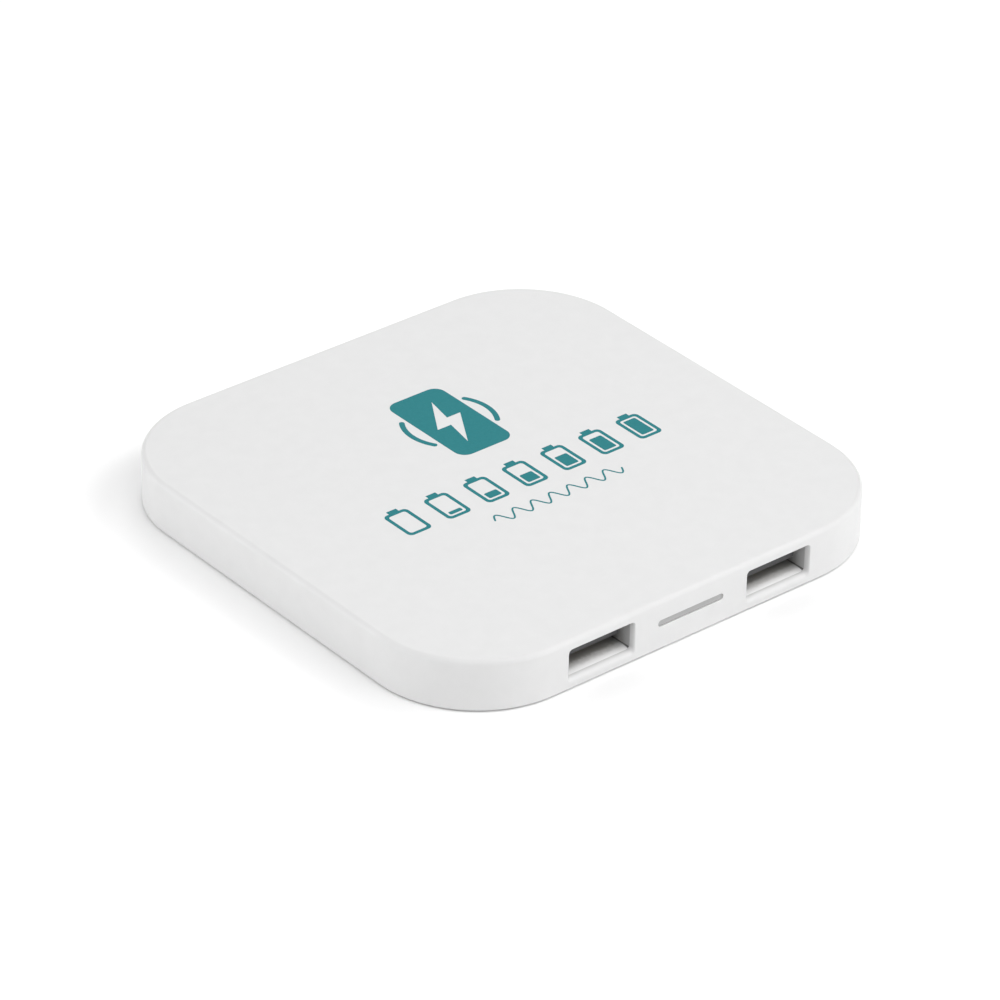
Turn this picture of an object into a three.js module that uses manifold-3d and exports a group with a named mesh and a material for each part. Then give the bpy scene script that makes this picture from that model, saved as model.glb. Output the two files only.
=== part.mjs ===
// Wireless charging pad with two USB-A output sockets.
// Units are millimetres. +Z is up, -Y is the face with the sockets, +X is to the right seen from that face.
// Origin: on the table surface, in the middle of the square case.

import * as THREE from 'three';
import { mergeVertices } from 'three/addons/utils/BufferGeometryUtils.js';
import Module from 'manifold-3d';

const wasm = await Module();
wasm.setup();

// ---------------------------------------------------------------- driving dimensions

const CASE_WIDTH = 90.0; // square case, both ways
const CASE_CORNER_R = 18.2; // plan radius of the corners
const CASE_TOP_Z = 8.9; // charging face
const CASE_BOTTOM_Z = 0.3; // lower edge of the walls, carried clear of the table by the feet
const TOP_FILLET = 0.9;
const WALL_LOW = 1.6; // wall thickness around the base plate
const WALL_HIGH = 2.2; // wall thickness above it, which leaves the ledge the plate sits against
const ROOF_Z = 7.5; // underside of the charging face

const PLATE_TOP_Z = 1.5;
const PLATE_GAP = 0.15; // all round the base plate

const FOOT_R = 4.5;
const FOOT_POS = 33.0;
const FOOT_TOP_Z = 1.0;

const PORT_X = 17.55; // centre of each USB-A socket
const PORT_Z = 4.56;
const PORT_CUT_W = 12.7;
const PORT_CUT_H = 5.2;
const PORT_CUT_R = 0.65;
const PORT_WALL_Y = -44.0; // inner face of the thinned wall at each socket

const SHELL_OUT_W = 13.1;
const SHELL_OUT_H = 5.72;
const SHEET = 0.3;
const SHELL_FRONT_Y = -43.92;
const SHELL_BACK_Y = -30.0;
const TONGUE_W = 11.1;
const TONGUE_LOW_Z = 4.25;
const TONGUE_THICK = 1.84;
const TONGUE_TIP_Y = -42.5;
const CONTACT_X = [-3.5, -1.0, 1.0, 3.5];

const SLOT_W = 12.9; // light bar slot
const SLOT_H = 1.08;
const SLOT_Z = 4.74;
const LIGHT_RECESS = 0.15;

const INLET_Z = 4.53; // centre of the power inlet
const INLET_CUT_W = 8.6;
const INLET_CUT_H = 3.6;

const BOARD_W = 58.0;
const BOARD_HALF_LEN = 42.5;
const BOARD_Z0 = 2.2;
const BOARD_Z1 = 3.2;
const BOARD_FIX_X = 25.5; // standoffs and pins
const BOARD_FIX_Y = [-22.0, 33.0];

const COIL_Z = 6.75;
const WIRE_R = 0.5;
const COIL_R0 = 10.8; // centreline of the innermost turn
const COIL_PITCH = 1.13;
const COIL_STEPS_PER_TURN = 18;
const COIL_STEPS = 170; // 9.44 turns
const COIL_START_DEG = -60;
const LEAD_Z = 5.65; // the inner end runs out through the slot in the ferrite
const LEAD_X = 4.0;
const FERRITE_R = 25.0;
const FERRITE_Z0 = 5.25;
const FERRITE_Z1 = 6.25;

// ---------------------------------------------------------------- materials

const mat = (color, roughness, metalness) => new THREE.MeshStandardMaterial({ color, roughness, metalness });
const WHITE = () => mat(0xe9e9e9, 0.5, 0);
const RUBBER = () => mat(0xb9bbbc, 0.8, 0);
const STEEL = () => mat(0xb8b8b6, 0.3, 1);
const ZINC = () => mat(0x8f9194, 0.4, 1);
const GOLD = () => mat(0xd4af6a, 0.3, 1);
const INSULATOR = () => mat(0x5c5c5d, 0.5, 0);
const FROST = () => mat(0xb4b4b4, 0.4, 0);
const BOARD = () => mat(0x14503a, 0.45, 0);
const CHIP = () => mat(0x1c1c1e, 0.55, 0);
const CERAMIC = () => mat(0xa98d68, 0.5, 0);
const CHOKE = () => mat(0x3a3a3d, 0.6, 0);
const COPPER = () => mat(0xb8683a, 0.4, 0.8);
const FERRITE = () => mat(0x35363a, 0.7, 0);
const TAPE = () => mat(0xdadada, 0.7, 0);
const LAMP = () => mat(0xf0efe4, 0.4, 0);

// ---------------------------------------------------------------- helpers

const model = new THREE.Group();

// A closed geometry becomes a solid that can be joined and cut.
function solid(geometry) {
  const g = geometry.clone();
  g.deleteAttribute('normal');
  g.deleteAttribute('uv');
  const m = mergeVertices(g, 1e-5);
  return new wasm.Manifold(new wasm.Mesh({
    numProp: 3,
    vertProperties: Float32Array.from(m.attributes.position.array),
    triVerts: Uint32Array.from(m.index.array),
  }));
}

function geometryOf(body) {
  const mesh = body.getMesh();
  const g = new THREE.BufferGeometry();
  g.setAttribute('position', new THREE.BufferAttribute(Float32Array.from(mesh.vertProperties), 3));
  g.setIndex(new THREE.BufferAttribute(Uint32Array.from(mesh.triVerts), 1));
  g.computeVertexNormals();
  return g;
}

const join = (first, ...rest) => rest.reduce((a, b) => a.add(b), first);
const cut = (first, ...rest) => rest.reduce((a, b) => a.subtract(b), first);

function place(name, shape, material) {
  const geometry = shape instanceof THREE.BufferGeometry ? shape : geometryOf(shape);
  const mesh = new THREE.Mesh(geometry, material);
  mesh.name = name;
  model.add(mesh);
  return mesh;
}

function roundedRect(w, h, r, cx = 0, cy = 0) {
  const s = new THREE.Shape();
  const x0 = cx - w / 2, x1 = cx + w / 2, y0 = cy - h / 2, y1 = cy + h / 2;
  s.moveTo(x0 + r, y0);
  s.lineTo(x1 - r, y0);
  s.absarc(x1 - r, y0 + r, r, -Math.PI / 2, 0, false);
  s.lineTo(x1, y1 - r);
  s.absarc(x1 - r, y1 - r, r, 0, Math.PI / 2, false);
  s.lineTo(x0 + r, y1);
  s.absarc(x0 + r, y1 - r, r, Math.PI / 2, Math.PI, false);
  s.lineTo(x0, y0 + r);
  s.absarc(x0 + r, y0 + r, r, Math.PI, Math.PI * 1.5, false);
  return s;
}

function polygon(points) {
  return new THREE.Shape(points.map(([x, y]) => new THREE.Vector2(x, y)));
}

// Outline in XY, raised along Z.
function prismZ(shape, z0, z1, curveSegments = 5) {
  return solid(new THREE.ExtrudeGeometry(shape, { depth: z1 - z0, bevelEnabled: false, curveSegments }).translate(0, 0, z0));
}

// Outline in XZ, pushed along Y.
function prismY(shape, y0, y1, curveSegments = 2) {
  return solid(new THREE.ExtrudeGeometry(shape, { depth: y1 - y0, bevelEnabled: false, curveSegments })
    .rotateX(Math.PI / 2).translate(0, y1, 0));
}

// Outline in YZ, pushed along X.
const YZ_TO_X = new THREE.Matrix4().makeBasis(
  new THREE.Vector3(0, 1, 0), new THREE.Vector3(0, 0, 1), new THREE.Vector3(1, 0, 0));
function prismX(shape, x0, x1, curveSegments = 2) {
  return solid(new THREE.ExtrudeGeometry(shape, { depth: x1 - x0, bevelEnabled: false, curveSegments })
    .applyMatrix4(YZ_TO_X).translate(x0, 0, 0));
}

function box(x0, x1, y0, y1, z0, z1) {
  return solid(new THREE.BoxGeometry(x1 - x0, y1 - y0, z1 - z0)
    .translate((x0 + x1) / 2, (y0 + y1) / 2, (z0 + z1) / 2));
}

function post(x, y, r, z0, z1, segments = 20) {
  return solid(new THREE.CylinderGeometry(r, r, z1 - z0, segments).rotateX(Math.PI / 2).translate(x, y, (z0 + z1) / 2));
}

// Profile of [radius, z] pairs that starts and ends on the axis, turned about a vertical axis at x, y.
function turned(profile, x, y, segments = 16) {
  return solid(new THREE.LatheGeometry(profile.map(([r, z]) => new THREE.Vector2(r, z)), segments)
    .rotateX(Math.PI / 2).translate(x, y, 0));
}

const CORNERS = [
  ['front_left', -1, -1], ['front_right', 1, -1], ['rear_left', -1, 1], ['rear_right', 1, 1],
];

// ---------------------------------------------------------------- top cover

{
  const w = CASE_WIDTH, r = CASE_CORNER_R;
  const rounded = solid(new THREE.ExtrudeGeometry(roundedRect(w, w, r), {
    depth: CASE_TOP_Z - TOP_FILLET + 4, bevelEnabled: true, bevelThickness: TOP_FILLET, bevelSize: TOP_FILLET,
    bevelOffset: -TOP_FILLET, bevelSegments: 3, curveSegments: 6,
  }).translate(0, 0, -4));
  let cover = cut(rounded, box(-60, 60, -60, 60, -10, CASE_BOTTOM_Z));

  const low = w - 2 * WALL_LOW, high = w - 2 * WALL_HIGH;
  cover = cut(cover,
    prismZ(roundedRect(low, low, r - WALL_LOW), -1, PLATE_TOP_Z, 6),
    prismZ(roundedRect(high, high, r - WALL_HIGH), 0, ROOF_Z, 6));

  // the front wall is thinned where each socket sits, and cut through
  for (const side of [-1, 1]) {
    const x = side * PORT_X;
    cover = cut(cover,
      box(x - 7.1, x + 7.1, PORT_WALL_Y, -40, PLATE_TOP_Z, ROOF_Z),
      prismY(roundedRect(PORT_CUT_W, PORT_CUT_H, PORT_CUT_R, x, PORT_Z), -46, -43));
  }
  // slot for the light bar
  cover = cut(cover, prismY(roundedRect(SLOT_W, SLOT_H, SLOT_H / 2, 0, SLOT_Z), -46, -42, 3));
  // rear inlet
  cover = cut(cover,
    box(-5.4, 5.4, 40, 44.0, PLATE_TOP_Z, ROOF_Z),
    prismY(roundedRect(INLET_CUT_W, INLET_CUT_H, 0.9, 0, INLET_Z), 43, 46));

  // screw bosses
  for (const [, sx, sy] of CORNERS) {
    const x = sx * FOOT_POS, y = sy * FOOT_POS;
    cover = join(cover, post(x, y, 2.8, 2.7, ROOF_Z + 0.2, 20));
    cover = cut(cover, post(x, y, 1.2, 2.0, 6.9, 12));
  }

  // arcs of rib that keep the coil in place, open at the rear where its ends leave
  const outer = 23.9, inner = 22.9;
  for (const [from, to] of [[160, 230], [250, 320], [340, 410]]) {
    const a = THREE.MathUtils.degToRad(from), b = THREE.MathUtils.degToRad(to);
    const arc = new THREE.Shape();
    arc.absarc(0, 0, outer, a, b, false);
    arc.absarc(0, 0, inner, b, a, true);
    cover = join(cover, prismZ(arc, 6.3, ROOF_Z + 0.2, 5));
  }
  place('top_cover', cover, WHITE());
}

// ---------------------------------------------------------------- base plate

{
  const w = CASE_WIDTH - 2 * WALL_LOW - 2 * PLATE_GAP;
  let plate = prismZ(roundedRect(w, w, CASE_CORNER_R - WALL_LOW - PLATE_GAP), CASE_BOTTOM_Z, PLATE_TOP_Z, 6);
  for (const [, sx, sy] of CORNERS) {
    const x = sx * FOOT_POS, y = sy * FOOT_POS;
    plate = join(plate, post(x, y, 3.8, 1.2, 2.7, 20));
    plate = cut(plate,
      post(x, y, FOOT_R + 0.15, 0, FOOT_TOP_Z, 32),
      post(x, y, 2.2, 0.5, 2.05, 16),
      post(x, y, 1.2, 1.5, 3.5, 12));
  }
  // standoffs under the board: two take screws, two carry a locating pin
  for (const x of [-BOARD_FIX_X, BOARD_FIX_X]) {
    for (const y of BOARD_FIX_Y) {
      plate = join(plate, post(x, y, 2.5, 1.2, BOARD_Z0, 16));
      const screwed = (x < 0) === (y > 0);
      if (screwed) plate = cut(plate, post(x, y, 1.05, 0.9, 3, 12));
      else plate = join(plate, turned([[0, 1.4], [0.9, 1.4], [0.9, 3.7], [0.6, 4.1], [0, 4.1]], x, y, 12));
    }
  }
  place('base_plate', plate, WHITE());
}

// ---------------------------------------------------------------- feet and case screws

for (const [where, sx, sy] of CORNERS) {
  const x = sx * FOOT_POS, y = sy * FOOT_POS;
  place(`foot_${where}`, turned([
    [0, 0], [FOOT_R - 0.3, 0], [FOOT_R - 0.08, 0.08], [FOOT_R, 0.3], [FOOT_R, FOOT_TOP_Z], [0, FOOT_TOP_Z],
  ], x, y, 28), RUBBER());

  // flat head down, cross recess in it, coarse thread up into the boss
  const screw = [[0, 1.05], [1.75, 1.05], [1.9, 1.2], [1.9, 2.0], [0.75, 2.0]];
  for (let z = 2.4; z < 6.1; z += 0.7) screw.push([0.75, z], [1.0, z + 0.15], [0.75, z + 0.3]);
  screw.push([0.3, 6.6], [0, 6.6]);
  place(`case_screw_${where}`, cut(turned(screw, x, y, 12),
    box(x - 1.1, x + 1.1, y - 0.2, y + 0.2, 0.8, 1.6),
    box(x - 0.2, x + 0.2, y - 1.1, y + 1.1, 0.8, 1.6)), ZINC());
}

// ---------------------------------------------------------------- main board

{
  let board = prismZ(roundedRect(BOARD_W, 2 * BOARD_HALF_LEN, 1.5), BOARD_Z0, BOARD_Z1, 2);
  for (const side of [-1, 1]) {
    const x = side * PORT_X;
    board = cut(board, box(x - 6.85, x + 6.85, -50, -29.85, 0, 5));
  }
  for (const x of [-BOARD_FIX_X, BOARD_FIX_X]) {
    for (const y of BOARD_FIX_Y) board = cut(board, post(x, y, 1.2, 0, 5, 12));
  }
  place('main_board', board, BOARD());

  for (const [side, x, y] of [['left', -BOARD_FIX_X, BOARD_FIX_Y[1]], ['right', BOARD_FIX_X, BOARD_FIX_Y[0]]]) {
    place(`board_screw_${side}`, cut(turned([
      [0, 1.1], [0.45, 1.3], [0.8, 1.6], [0.8, BOARD_Z1], [1.9, BOARD_Z1], [1.9, 3.9], [1.5, 4.3], [0, 4.4],
    ], x, y, 14),
      box(x - 1.0, x + 1.0, y - 0.2, y + 0.2, 3.8, 5),
      box(x - 0.2, x + 0.2, y - 1.0, y + 1.0, 3.8, 5)), ZINC());
  }
}

// ---------------------------------------------------------------- USB-A sockets

for (const [name, side] of [['left', -1], ['right', 1]]) {
  const x = side * PORT_X;
  const innerW = SHELL_OUT_W - 2 * SHEET, innerH = SHELL_OUT_H - 2 * SHEET;

  let shell = cut(
    prismY(roundedRect(SHELL_OUT_W, SHELL_OUT_H, 0.6, x, PORT_Z), SHELL_FRONT_Y, SHELL_BACK_Y),
    prismY(roundedRect(innerW, innerH, 0.35, x, PORT_Z), -50, -20));
  // wings soldered to the board, one pair near the front and one near the back
  for (const s of [-1, 1]) {
    const edge = x + s * (SHELL_OUT_W / 2);
    for (const y of [-41.0, -33.0]) {
      const lo = Math.min(edge - s * 0.1, edge + s * 1.9), hi = Math.max(edge - s * 0.1, edge + s * 1.9);
      shell = join(shell, box(lo, hi, y - 1.2, y + 1.2, BOARD_Z1, BOARD_Z1 + SHEET));
    }
  }
  place(`usb_shell_${name}`, shell, STEEL());

  const blockW = innerW - 0.2;
  let tongue = join(
    prismY(roundedRect(blockW, innerH - 0.1, 0.45, x, PORT_Z), -36.0, SHELL_BACK_Y),
    box(x - TONGUE_W / 2, x + TONGUE_W / 2, TONGUE_TIP_Y + 0.35, -35.5, TONGUE_LOW_Z, TONGUE_LOW_Z + TONGUE_THICK),
    prismX(polygon([
      [TONGUE_TIP_Y, TONGUE_LOW_Z + 0.5], [TONGUE_TIP_Y + 0.5, TONGUE_LOW_Z], [TONGUE_TIP_Y + 0.5, TONGUE_LOW_Z + TONGUE_THICK],
      [TONGUE_TIP_Y, TONGUE_LOW_Z + TONGUE_THICK - 0.25],
    ]), x - TONGUE_W / 2, x + TONGUE_W / 2));
  for (const dx of CONTACT_X) {
    tongue = cut(tongue, box(x + dx - 0.7, x + dx + 0.7, TONGUE_TIP_Y + 0.75, -20, TONGUE_LOW_Z - 0.6, TONGUE_LOW_Z + 0.35));
  }
  place(`usb_tongue_${name}`, tongue, INSULATOR());

  // each contact: a bowed strip under the tongue, a leg down behind the shell, a foot on the board
  const zc = TONGUE_LOW_Z + 0.05;
  CONTACT_X.forEach((dx, i) => {
    const strip = polygon([
      [TONGUE_TIP_Y + 1.0, zc - 0.1], [TONGUE_TIP_Y + 1.5, zc - 0.38], [TONGUE_TIP_Y + 2.3, zc - 0.38], [TONGUE_TIP_Y + 3.6, zc],
      [-29.55, zc], [-29.55, BOARD_Z1 + 0.25], [-28.2, BOARD_Z1 + 0.25], [-28.2, BOARD_Z1], [-29.8, BOARD_Z1],
      [-29.8, zc - 0.25], [TONGUE_TIP_Y + 3.6, zc - 0.25], [TONGUE_TIP_Y + 2.3, zc - 0.63], [TONGUE_TIP_Y + 1.5, zc - 0.63],
      [TONGUE_TIP_Y + 1.0, zc - 0.35],
    ].reverse());
    place(`usb_contact_${name}_${i + 1}`, prismX(strip, x + dx - 0.5, x + dx + 0.5), GOLD());
  });
}

// ---------------------------------------------------------------- power inlet at the rear

{
  const z0 = BOARD_Z1, z1 = BOARD_Z1 + 2.65;
  const outline = (g) => polygon([
    [-3.75 + g, z1 - g], [-3.75 + g, z0 + 1.15 + g * 0.4], [-2.85 + g, z0 + g], [2.85 - g, z0 + g],
    [3.75 - g, z0 + 1.15 + g * 0.4], [3.75 - g, z1 - g],
  ]);
  let shell = cut(prismY(outline(0), 38.4, 43.9), prismY(outline(0.25), 30, 50));
  for (const s of [-1, 1]) {
    shell = join(shell, box(Math.min(s * 2.0, s * 4.9), Math.max(s * 2.0, s * 4.9), 39.2, 41.2, z0, z0 + 0.2));
  }
  place('inlet_shell', shell, STEEL());

  const tongue = join(
    prismY(outline(0.35), 38.4, 39.6),
    box(-1.9, 1.9, 39.5, 42.9, z0 + 1.35, z0 + 1.95));
  let insulator = tongue;
  for (let i = -2; i <= 2; i += 1) {
    const x = i * 0.65;
    insulator = cut(insulator, box(x - 0.22, x + 0.22, 37, 42.6, z0 + 1.0, z0 + 1.5));
  }
  place('inlet_tongue', insulator, CHIP());
  for (let i = -2; i <= 2; i += 1) {
    const x = i * 0.65;
    const zc = z0 + 1.4;
    place(`inlet_contact_${i + 3}`, prismX(polygon([
      [42.2, zc], [42.2, zc - 0.15], [38.1, zc - 0.15], [38.1, z0], [37.0, z0], [37.0, z0 + 0.15], [37.95, z0 + 0.15], [37.95, zc],
    ].reverse()), x - 0.15, x + 0.15), GOLD());
  }
}

// ---------------------------------------------------------------- status light

{
  const y0 = -CASE_WIDTH / 2 + LIGHT_RECESS;
  const bar = prismY(roundedRect(SLOT_W - 0.1, SLOT_H - 0.1, (SLOT_H - 0.1) / 2, 0, SLOT_Z), y0, -42.6, 3);
  const flange = prismY(roundedRect(16, 2.6, 0.5, 0, SLOT_Z - 0.1), -42.8, -41.6, 2);
  place('light_pipe', join(bar, flange), FROST());

  for (const [name, x] of [['left', -3.6], ['right', 3.6]]) {
    const lamp = join(
      box(x - 1.6, x + 1.6, -41.0, -39.6, BOARD_Z1, BOARD_Z1 + 1.5),
      box(x - 1.2, x + 1.2, -41.25, -40.9, BOARD_Z1 + 0.25, BOARD_Z1 + 1.3),
      box(x - 1.8, x + 1.8, -40.6, -39.9, BOARD_Z1, BOARD_Z1 + 0.45));
    place(`led_${name}`, lamp, LAMP());
  }
}

// ---------------------------------------------------------------- charging coil

// One wire from pad to pad: up from the board, in through the ferrite's slot, the flat spiral, and out to the board again.
// It is sampled at its own points, so neighbouring turns have their facets in line and never touch.
class CoilPath extends THREE.Curve {
  constructor(points) {
    super();
    this.points = points;
  }

  getPoint(t, target = new THREE.Vector3()) {
    const last = this.points.length - 1;
    const p = Math.min(Math.max(t, 0), 1) * last;
    const i = Math.min(Math.floor(p + 1e-9), last - 1);
    return target.copy(this.points[i]).lerp(this.points[i + 1], p - i);
  }

  getPointAt(u, target) {
    return this.getPoint(u, target);
  }

  getTangent(t, target = new THREE.Vector3()) {
    const last = this.points.length - 1;
    const i = Math.round(Math.min(Math.max(t, 0), 1) * last);
    const a = this.points[Math.max(i - 1, 0)], b = this.points[Math.min(i + 1, last)];
    return target.copy(b).sub(a).normalize();
  }

  getTangentAt(u, target) {
    return this.getTangent(u, target);
  }
}

{
  const points = [];
  const lead = new THREE.CatmullRomCurve3([
    [LEAD_X, 32.5, 3.75], [LEAD_X, 30.2, 3.75], [LEAD_X, 28.6, 4.6], [LEAD_X, 27.0, 5.5], [LEAD_X, 25.0, LEAD_Z], [LEAD_X, 12.5, LEAD_Z],
    [LEAD_X, 9.3, 5.8], [LEAD_X, 6.2, 6.6], [LEAD_X, 4.2, COIL_Z], [4.6, 1.6, COIL_Z], [6.2, -1.0, COIL_Z], [7.9, -3.6, COIL_Z],
    [8.1, -6.2, COIL_Z], [7.0, -8.1, COIL_Z],
  ].map(([x, y, z]) => new THREE.Vector3(x, y, z)), false, 'centripetal');
  points.push(...lead.getPoints(22));
  let angle = 0, r = 0;
  for (let i = 0; i <= COIL_STEPS; i += 1) {
    angle = THREE.MathUtils.degToRad(COIL_START_DEG) - (i * 2 * Math.PI) / COIL_STEPS_PER_TURN;
    r = COIL_R0 + (COIL_PITCH * i) / COIL_STEPS_PER_TURN;
    points.push(new THREE.Vector3(r * Math.cos(angle), r * Math.sin(angle), COIL_Z));
  }
  const end = points[points.length - 1].clone();
  const along = new THREE.Vector3(Math.sin(angle), -Math.cos(angle), 0);
  for (const [s, z] of [[6, COIL_Z], [13.5, COIL_Z], [15.0, 6.5], [16.5, 5.6], [18.0, 4.6], [19.4, 3.9], [20.8, 3.75], [22.8, 3.75]]) {
    points.push(end.clone().addScaledVector(along, s).setZ(z));
  }
  const path = new CoilPath(points);
  const section = new THREE.Shape();
  for (let i = 0; i < 6; i += 1) {
    const a = (i * Math.PI) / 3;
    const x = WIRE_R * Math.cos(a), y = WIRE_R * Math.sin(a);
    if (i === 0) section.moveTo(x, y); else section.lineTo(x, y);
  }
  section.closePath();
  place('charging_coil', solid(new THREE.ExtrudeGeometry(section, {
    steps: points.length - 1, bevelEnabled: false, extrudePath: path,
  })), COPPER());

  const ferrite = cut(
    turned([[0, FERRITE_Z0], [FERRITE_R, FERRITE_Z0], [FERRITE_R, FERRITE_Z1], [0, FERRITE_Z1]], 0, 0, 40),
    box(LEAD_X - 0.95, LEAD_X + 0.95, 1.5, 30, 4, 8));
  place('ferrite_sheet', ferrite, FERRITE());

  place('coil_tape', cut(post(0, 0, 21.6, COIL_Z + WIRE_R, ROOF_Z, 40), post(0, 0, 10.6, 6, 9, 28)), TAPE());
}

// ---------------------------------------------------------------- components on the board

// a package with gull-wing legs along two sides
function package2(x, y, w, d, h, legs, pitch, legLength) {
  const z = BOARD_Z1;
  let chip = box(x - w / 2, x + w / 2, y - d / 2, y + d / 2, z + 0.15, z + h);
  for (let i = 0; i < legs; i += 1) {
    const lx = x + (i - (legs - 1) / 2) * pitch;
    for (const s of [-1, 1]) {
      const near = y + s * (d / 2 - 0.1), knee = y + s * (d / 2 + 0.3), tip = y + s * (d / 2 + legLength);
      const leg = polygon([
        [near, z + h * 0.55], [knee, z + h * 0.55], [knee + s * 0.15, z + 0.15], [tip, z + 0.15], [tip, z],
        [knee - s * 0.02, z], [knee - s * 0.15, z + h * 0.55 - 0.15], [near, z + h * 0.55 - 0.15],
      ]);
      chip = join(chip, prismX(leg, lx - 0.18, lx + 0.18));
    }
  }
  return cut(chip, post(x - w / 2 + 0.7, y - d / 2 + 0.7, 0.3, z + h - 0.08, z + h + 1, 8));
}

// a two-ended chip part whose metal ends stand slightly proud
function chipPart(x, y, l, w, h, end) {
  const z = BOARD_Z1;
  return join(
    box(x - l / 2 + 0.1, x + l / 2 - 0.1, y - w / 2 + 0.04, y + w / 2 - 0.04, z + 0.04, z + h - 0.04),
    box(x - l / 2, x - l / 2 + end, y - w / 2, y + w / 2, z, z + h),
    box(x + l / 2 - end, x + l / 2, y - w / 2, y + w / 2, z, z + h));
}

{
  // controller: flat no-lead package, pads showing along its four edges
  const x = -6, y = -2, z = BOARD_Z1, half = 2.5;
  let chip = box(x - half, x + half, y - half, y + half, z + 0.05, z + 0.85);
  for (let i = 0; i < 6; i += 1) {
    const o = (i - 2.5) * 0.75;
    chip = join(chip,
      box(x + o - 0.15, x + o + 0.15, y - half - 0.05, y + half + 0.05, z, z + 0.25),
      box(x - half - 0.05, x + half + 0.05, y + o - 0.15, y + o + 0.15, z, z + 0.25));
  }
  chip = cut(chip, post(x - 1.8, y - 1.8, 0.3, z + 0.77, z + 2, 8));
  place('controller_chip', chip, CHIP());
}
place('driver_chip', package2(5, 2, 4.9, 3.9, 1.5, 4, 1.27, 1.05), CHIP());
place('port_chip', package2(0, -24, 2.9, 1.6, 1.1, 3, 0.95, 0.7), CHIP());
[[10, 12], [14, 12], [10, 15], [14, 15]].forEach(([x, y], i) => {
  place(`resonant_cap_${i + 1}`, chipPart(x, y, 3.2, 1.6, 1.5, 0.5), CERAMIC());
});
place('input_cap', chipPart(-9, 30, 4.5, 3.2, 1.8, 0.6), CERAMIC());
place('sense_resistor', chipPart(-12, 12, 6.3, 3.2, 0.6, 0.8), CHIP());
{
  const z = BOARD_Z1;
  const choke = join(
    prismZ(roundedRect(6, 6, 1.2, 13, 34), z, z + 0.5, 2),
    post(13, 34, 2.3, z + 0.4, z + 1.9, 20),
    prismZ(roundedRect(6, 6, 1.2, 13, 34), z + 1.8, z + 2.3, 2),
    post(13, 34, 2.75, z + 0.8, z + 1.5, 20));
  place('power_inductor', choke, CHOKE());
}

export default model;
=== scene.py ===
import math

import bmesh
import bpy
from mathutils import Matrix, Vector


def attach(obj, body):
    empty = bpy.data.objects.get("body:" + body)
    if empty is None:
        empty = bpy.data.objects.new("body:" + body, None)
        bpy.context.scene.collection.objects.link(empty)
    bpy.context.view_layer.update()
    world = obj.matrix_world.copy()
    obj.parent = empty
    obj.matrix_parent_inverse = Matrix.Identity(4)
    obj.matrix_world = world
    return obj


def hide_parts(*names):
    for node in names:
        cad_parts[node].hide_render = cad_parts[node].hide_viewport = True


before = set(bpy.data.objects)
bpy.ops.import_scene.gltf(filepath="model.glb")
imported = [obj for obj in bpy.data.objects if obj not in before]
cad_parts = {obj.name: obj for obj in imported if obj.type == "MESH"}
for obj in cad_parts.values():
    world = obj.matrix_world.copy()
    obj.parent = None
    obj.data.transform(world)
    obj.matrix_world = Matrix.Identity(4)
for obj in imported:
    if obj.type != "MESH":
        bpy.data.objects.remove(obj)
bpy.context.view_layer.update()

# Wireless charging pad with two USB-A sockets. Lengths below are in millimetres, and V() turns them into metres.
# +Z up, -Y the face with the sockets, origin under the middle of the case on the table.

scene = bpy.context.scene

CASE = 90.0
CORNER = 18.2
Z_BOTTOM = 0.3
Z_TOP = 8.88  # the ink stands on this, and its upper side is the case's full height
Z_FULL = 8.9
FILLET = 0.9
WALL_LOW, WALL_HIGH = 1.6, 2.2
Z_LEDGE, Z_ROOF = 1.5, 7.5
PORT_X, PORT_Z, PORT_W, PORT_H = 17.55, 4.56, 12.66, 5.1
TONGUE_Z = 4.25
SLOT_W, SLOT_H, SLOT_Z = 12.9, 1.13, 4.74
INLET_Z, INLET_W, INLET_H = 4.53, 8.6, 3.6
FOOT_AT, FOOT_R = 33.0, 4.5
BOARD_Z0, BOARD_Z1 = 2.2, 3.2
CORNERS = [("front_left", -1, -1), ("front_right", 1, -1), ("rear_left", -1, 1), ("rear_right", 1, 1)]


def V(x, y, z):
    return Vector((x * 0.001, y * 0.001, z * 0.001))


# ---------------------------------------------------------------- camera

AZ, EL, ROLL = math.radians(-40.0), math.radians(31.79), 0.0190
cam_data = bpy.data.cameras.new("camera")
cam_data.sensor_width = 36.0
cam_data.lens = 188.46
cam_data.clip_start, cam_data.clip_end = 0.01, 30.0
cam_data.shift_x, cam_data.shift_y = 0.00025, 0.01226
cam = bpy.data.objects.new("camera", cam_data)
scene.collection.objects.link(cam)
back = Vector((math.sin(AZ) * math.cos(EL), -math.cos(AZ) * math.cos(EL), math.sin(EL)))
right = Vector((math.cos(AZ), math.sin(AZ), 0))
up = back.cross(right)
xr = right * math.cos(ROLL) + up * math.sin(ROLL)
yr = up * math.cos(ROLL) - right * math.sin(ROLL)
cam.matrix_world = Matrix.Translation(back * 0.81603) @ Matrix((xr, yr, back)).transposed().to_4x4()
scene.camera = cam


# ---------------------------------------------------------------- material helpers


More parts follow.
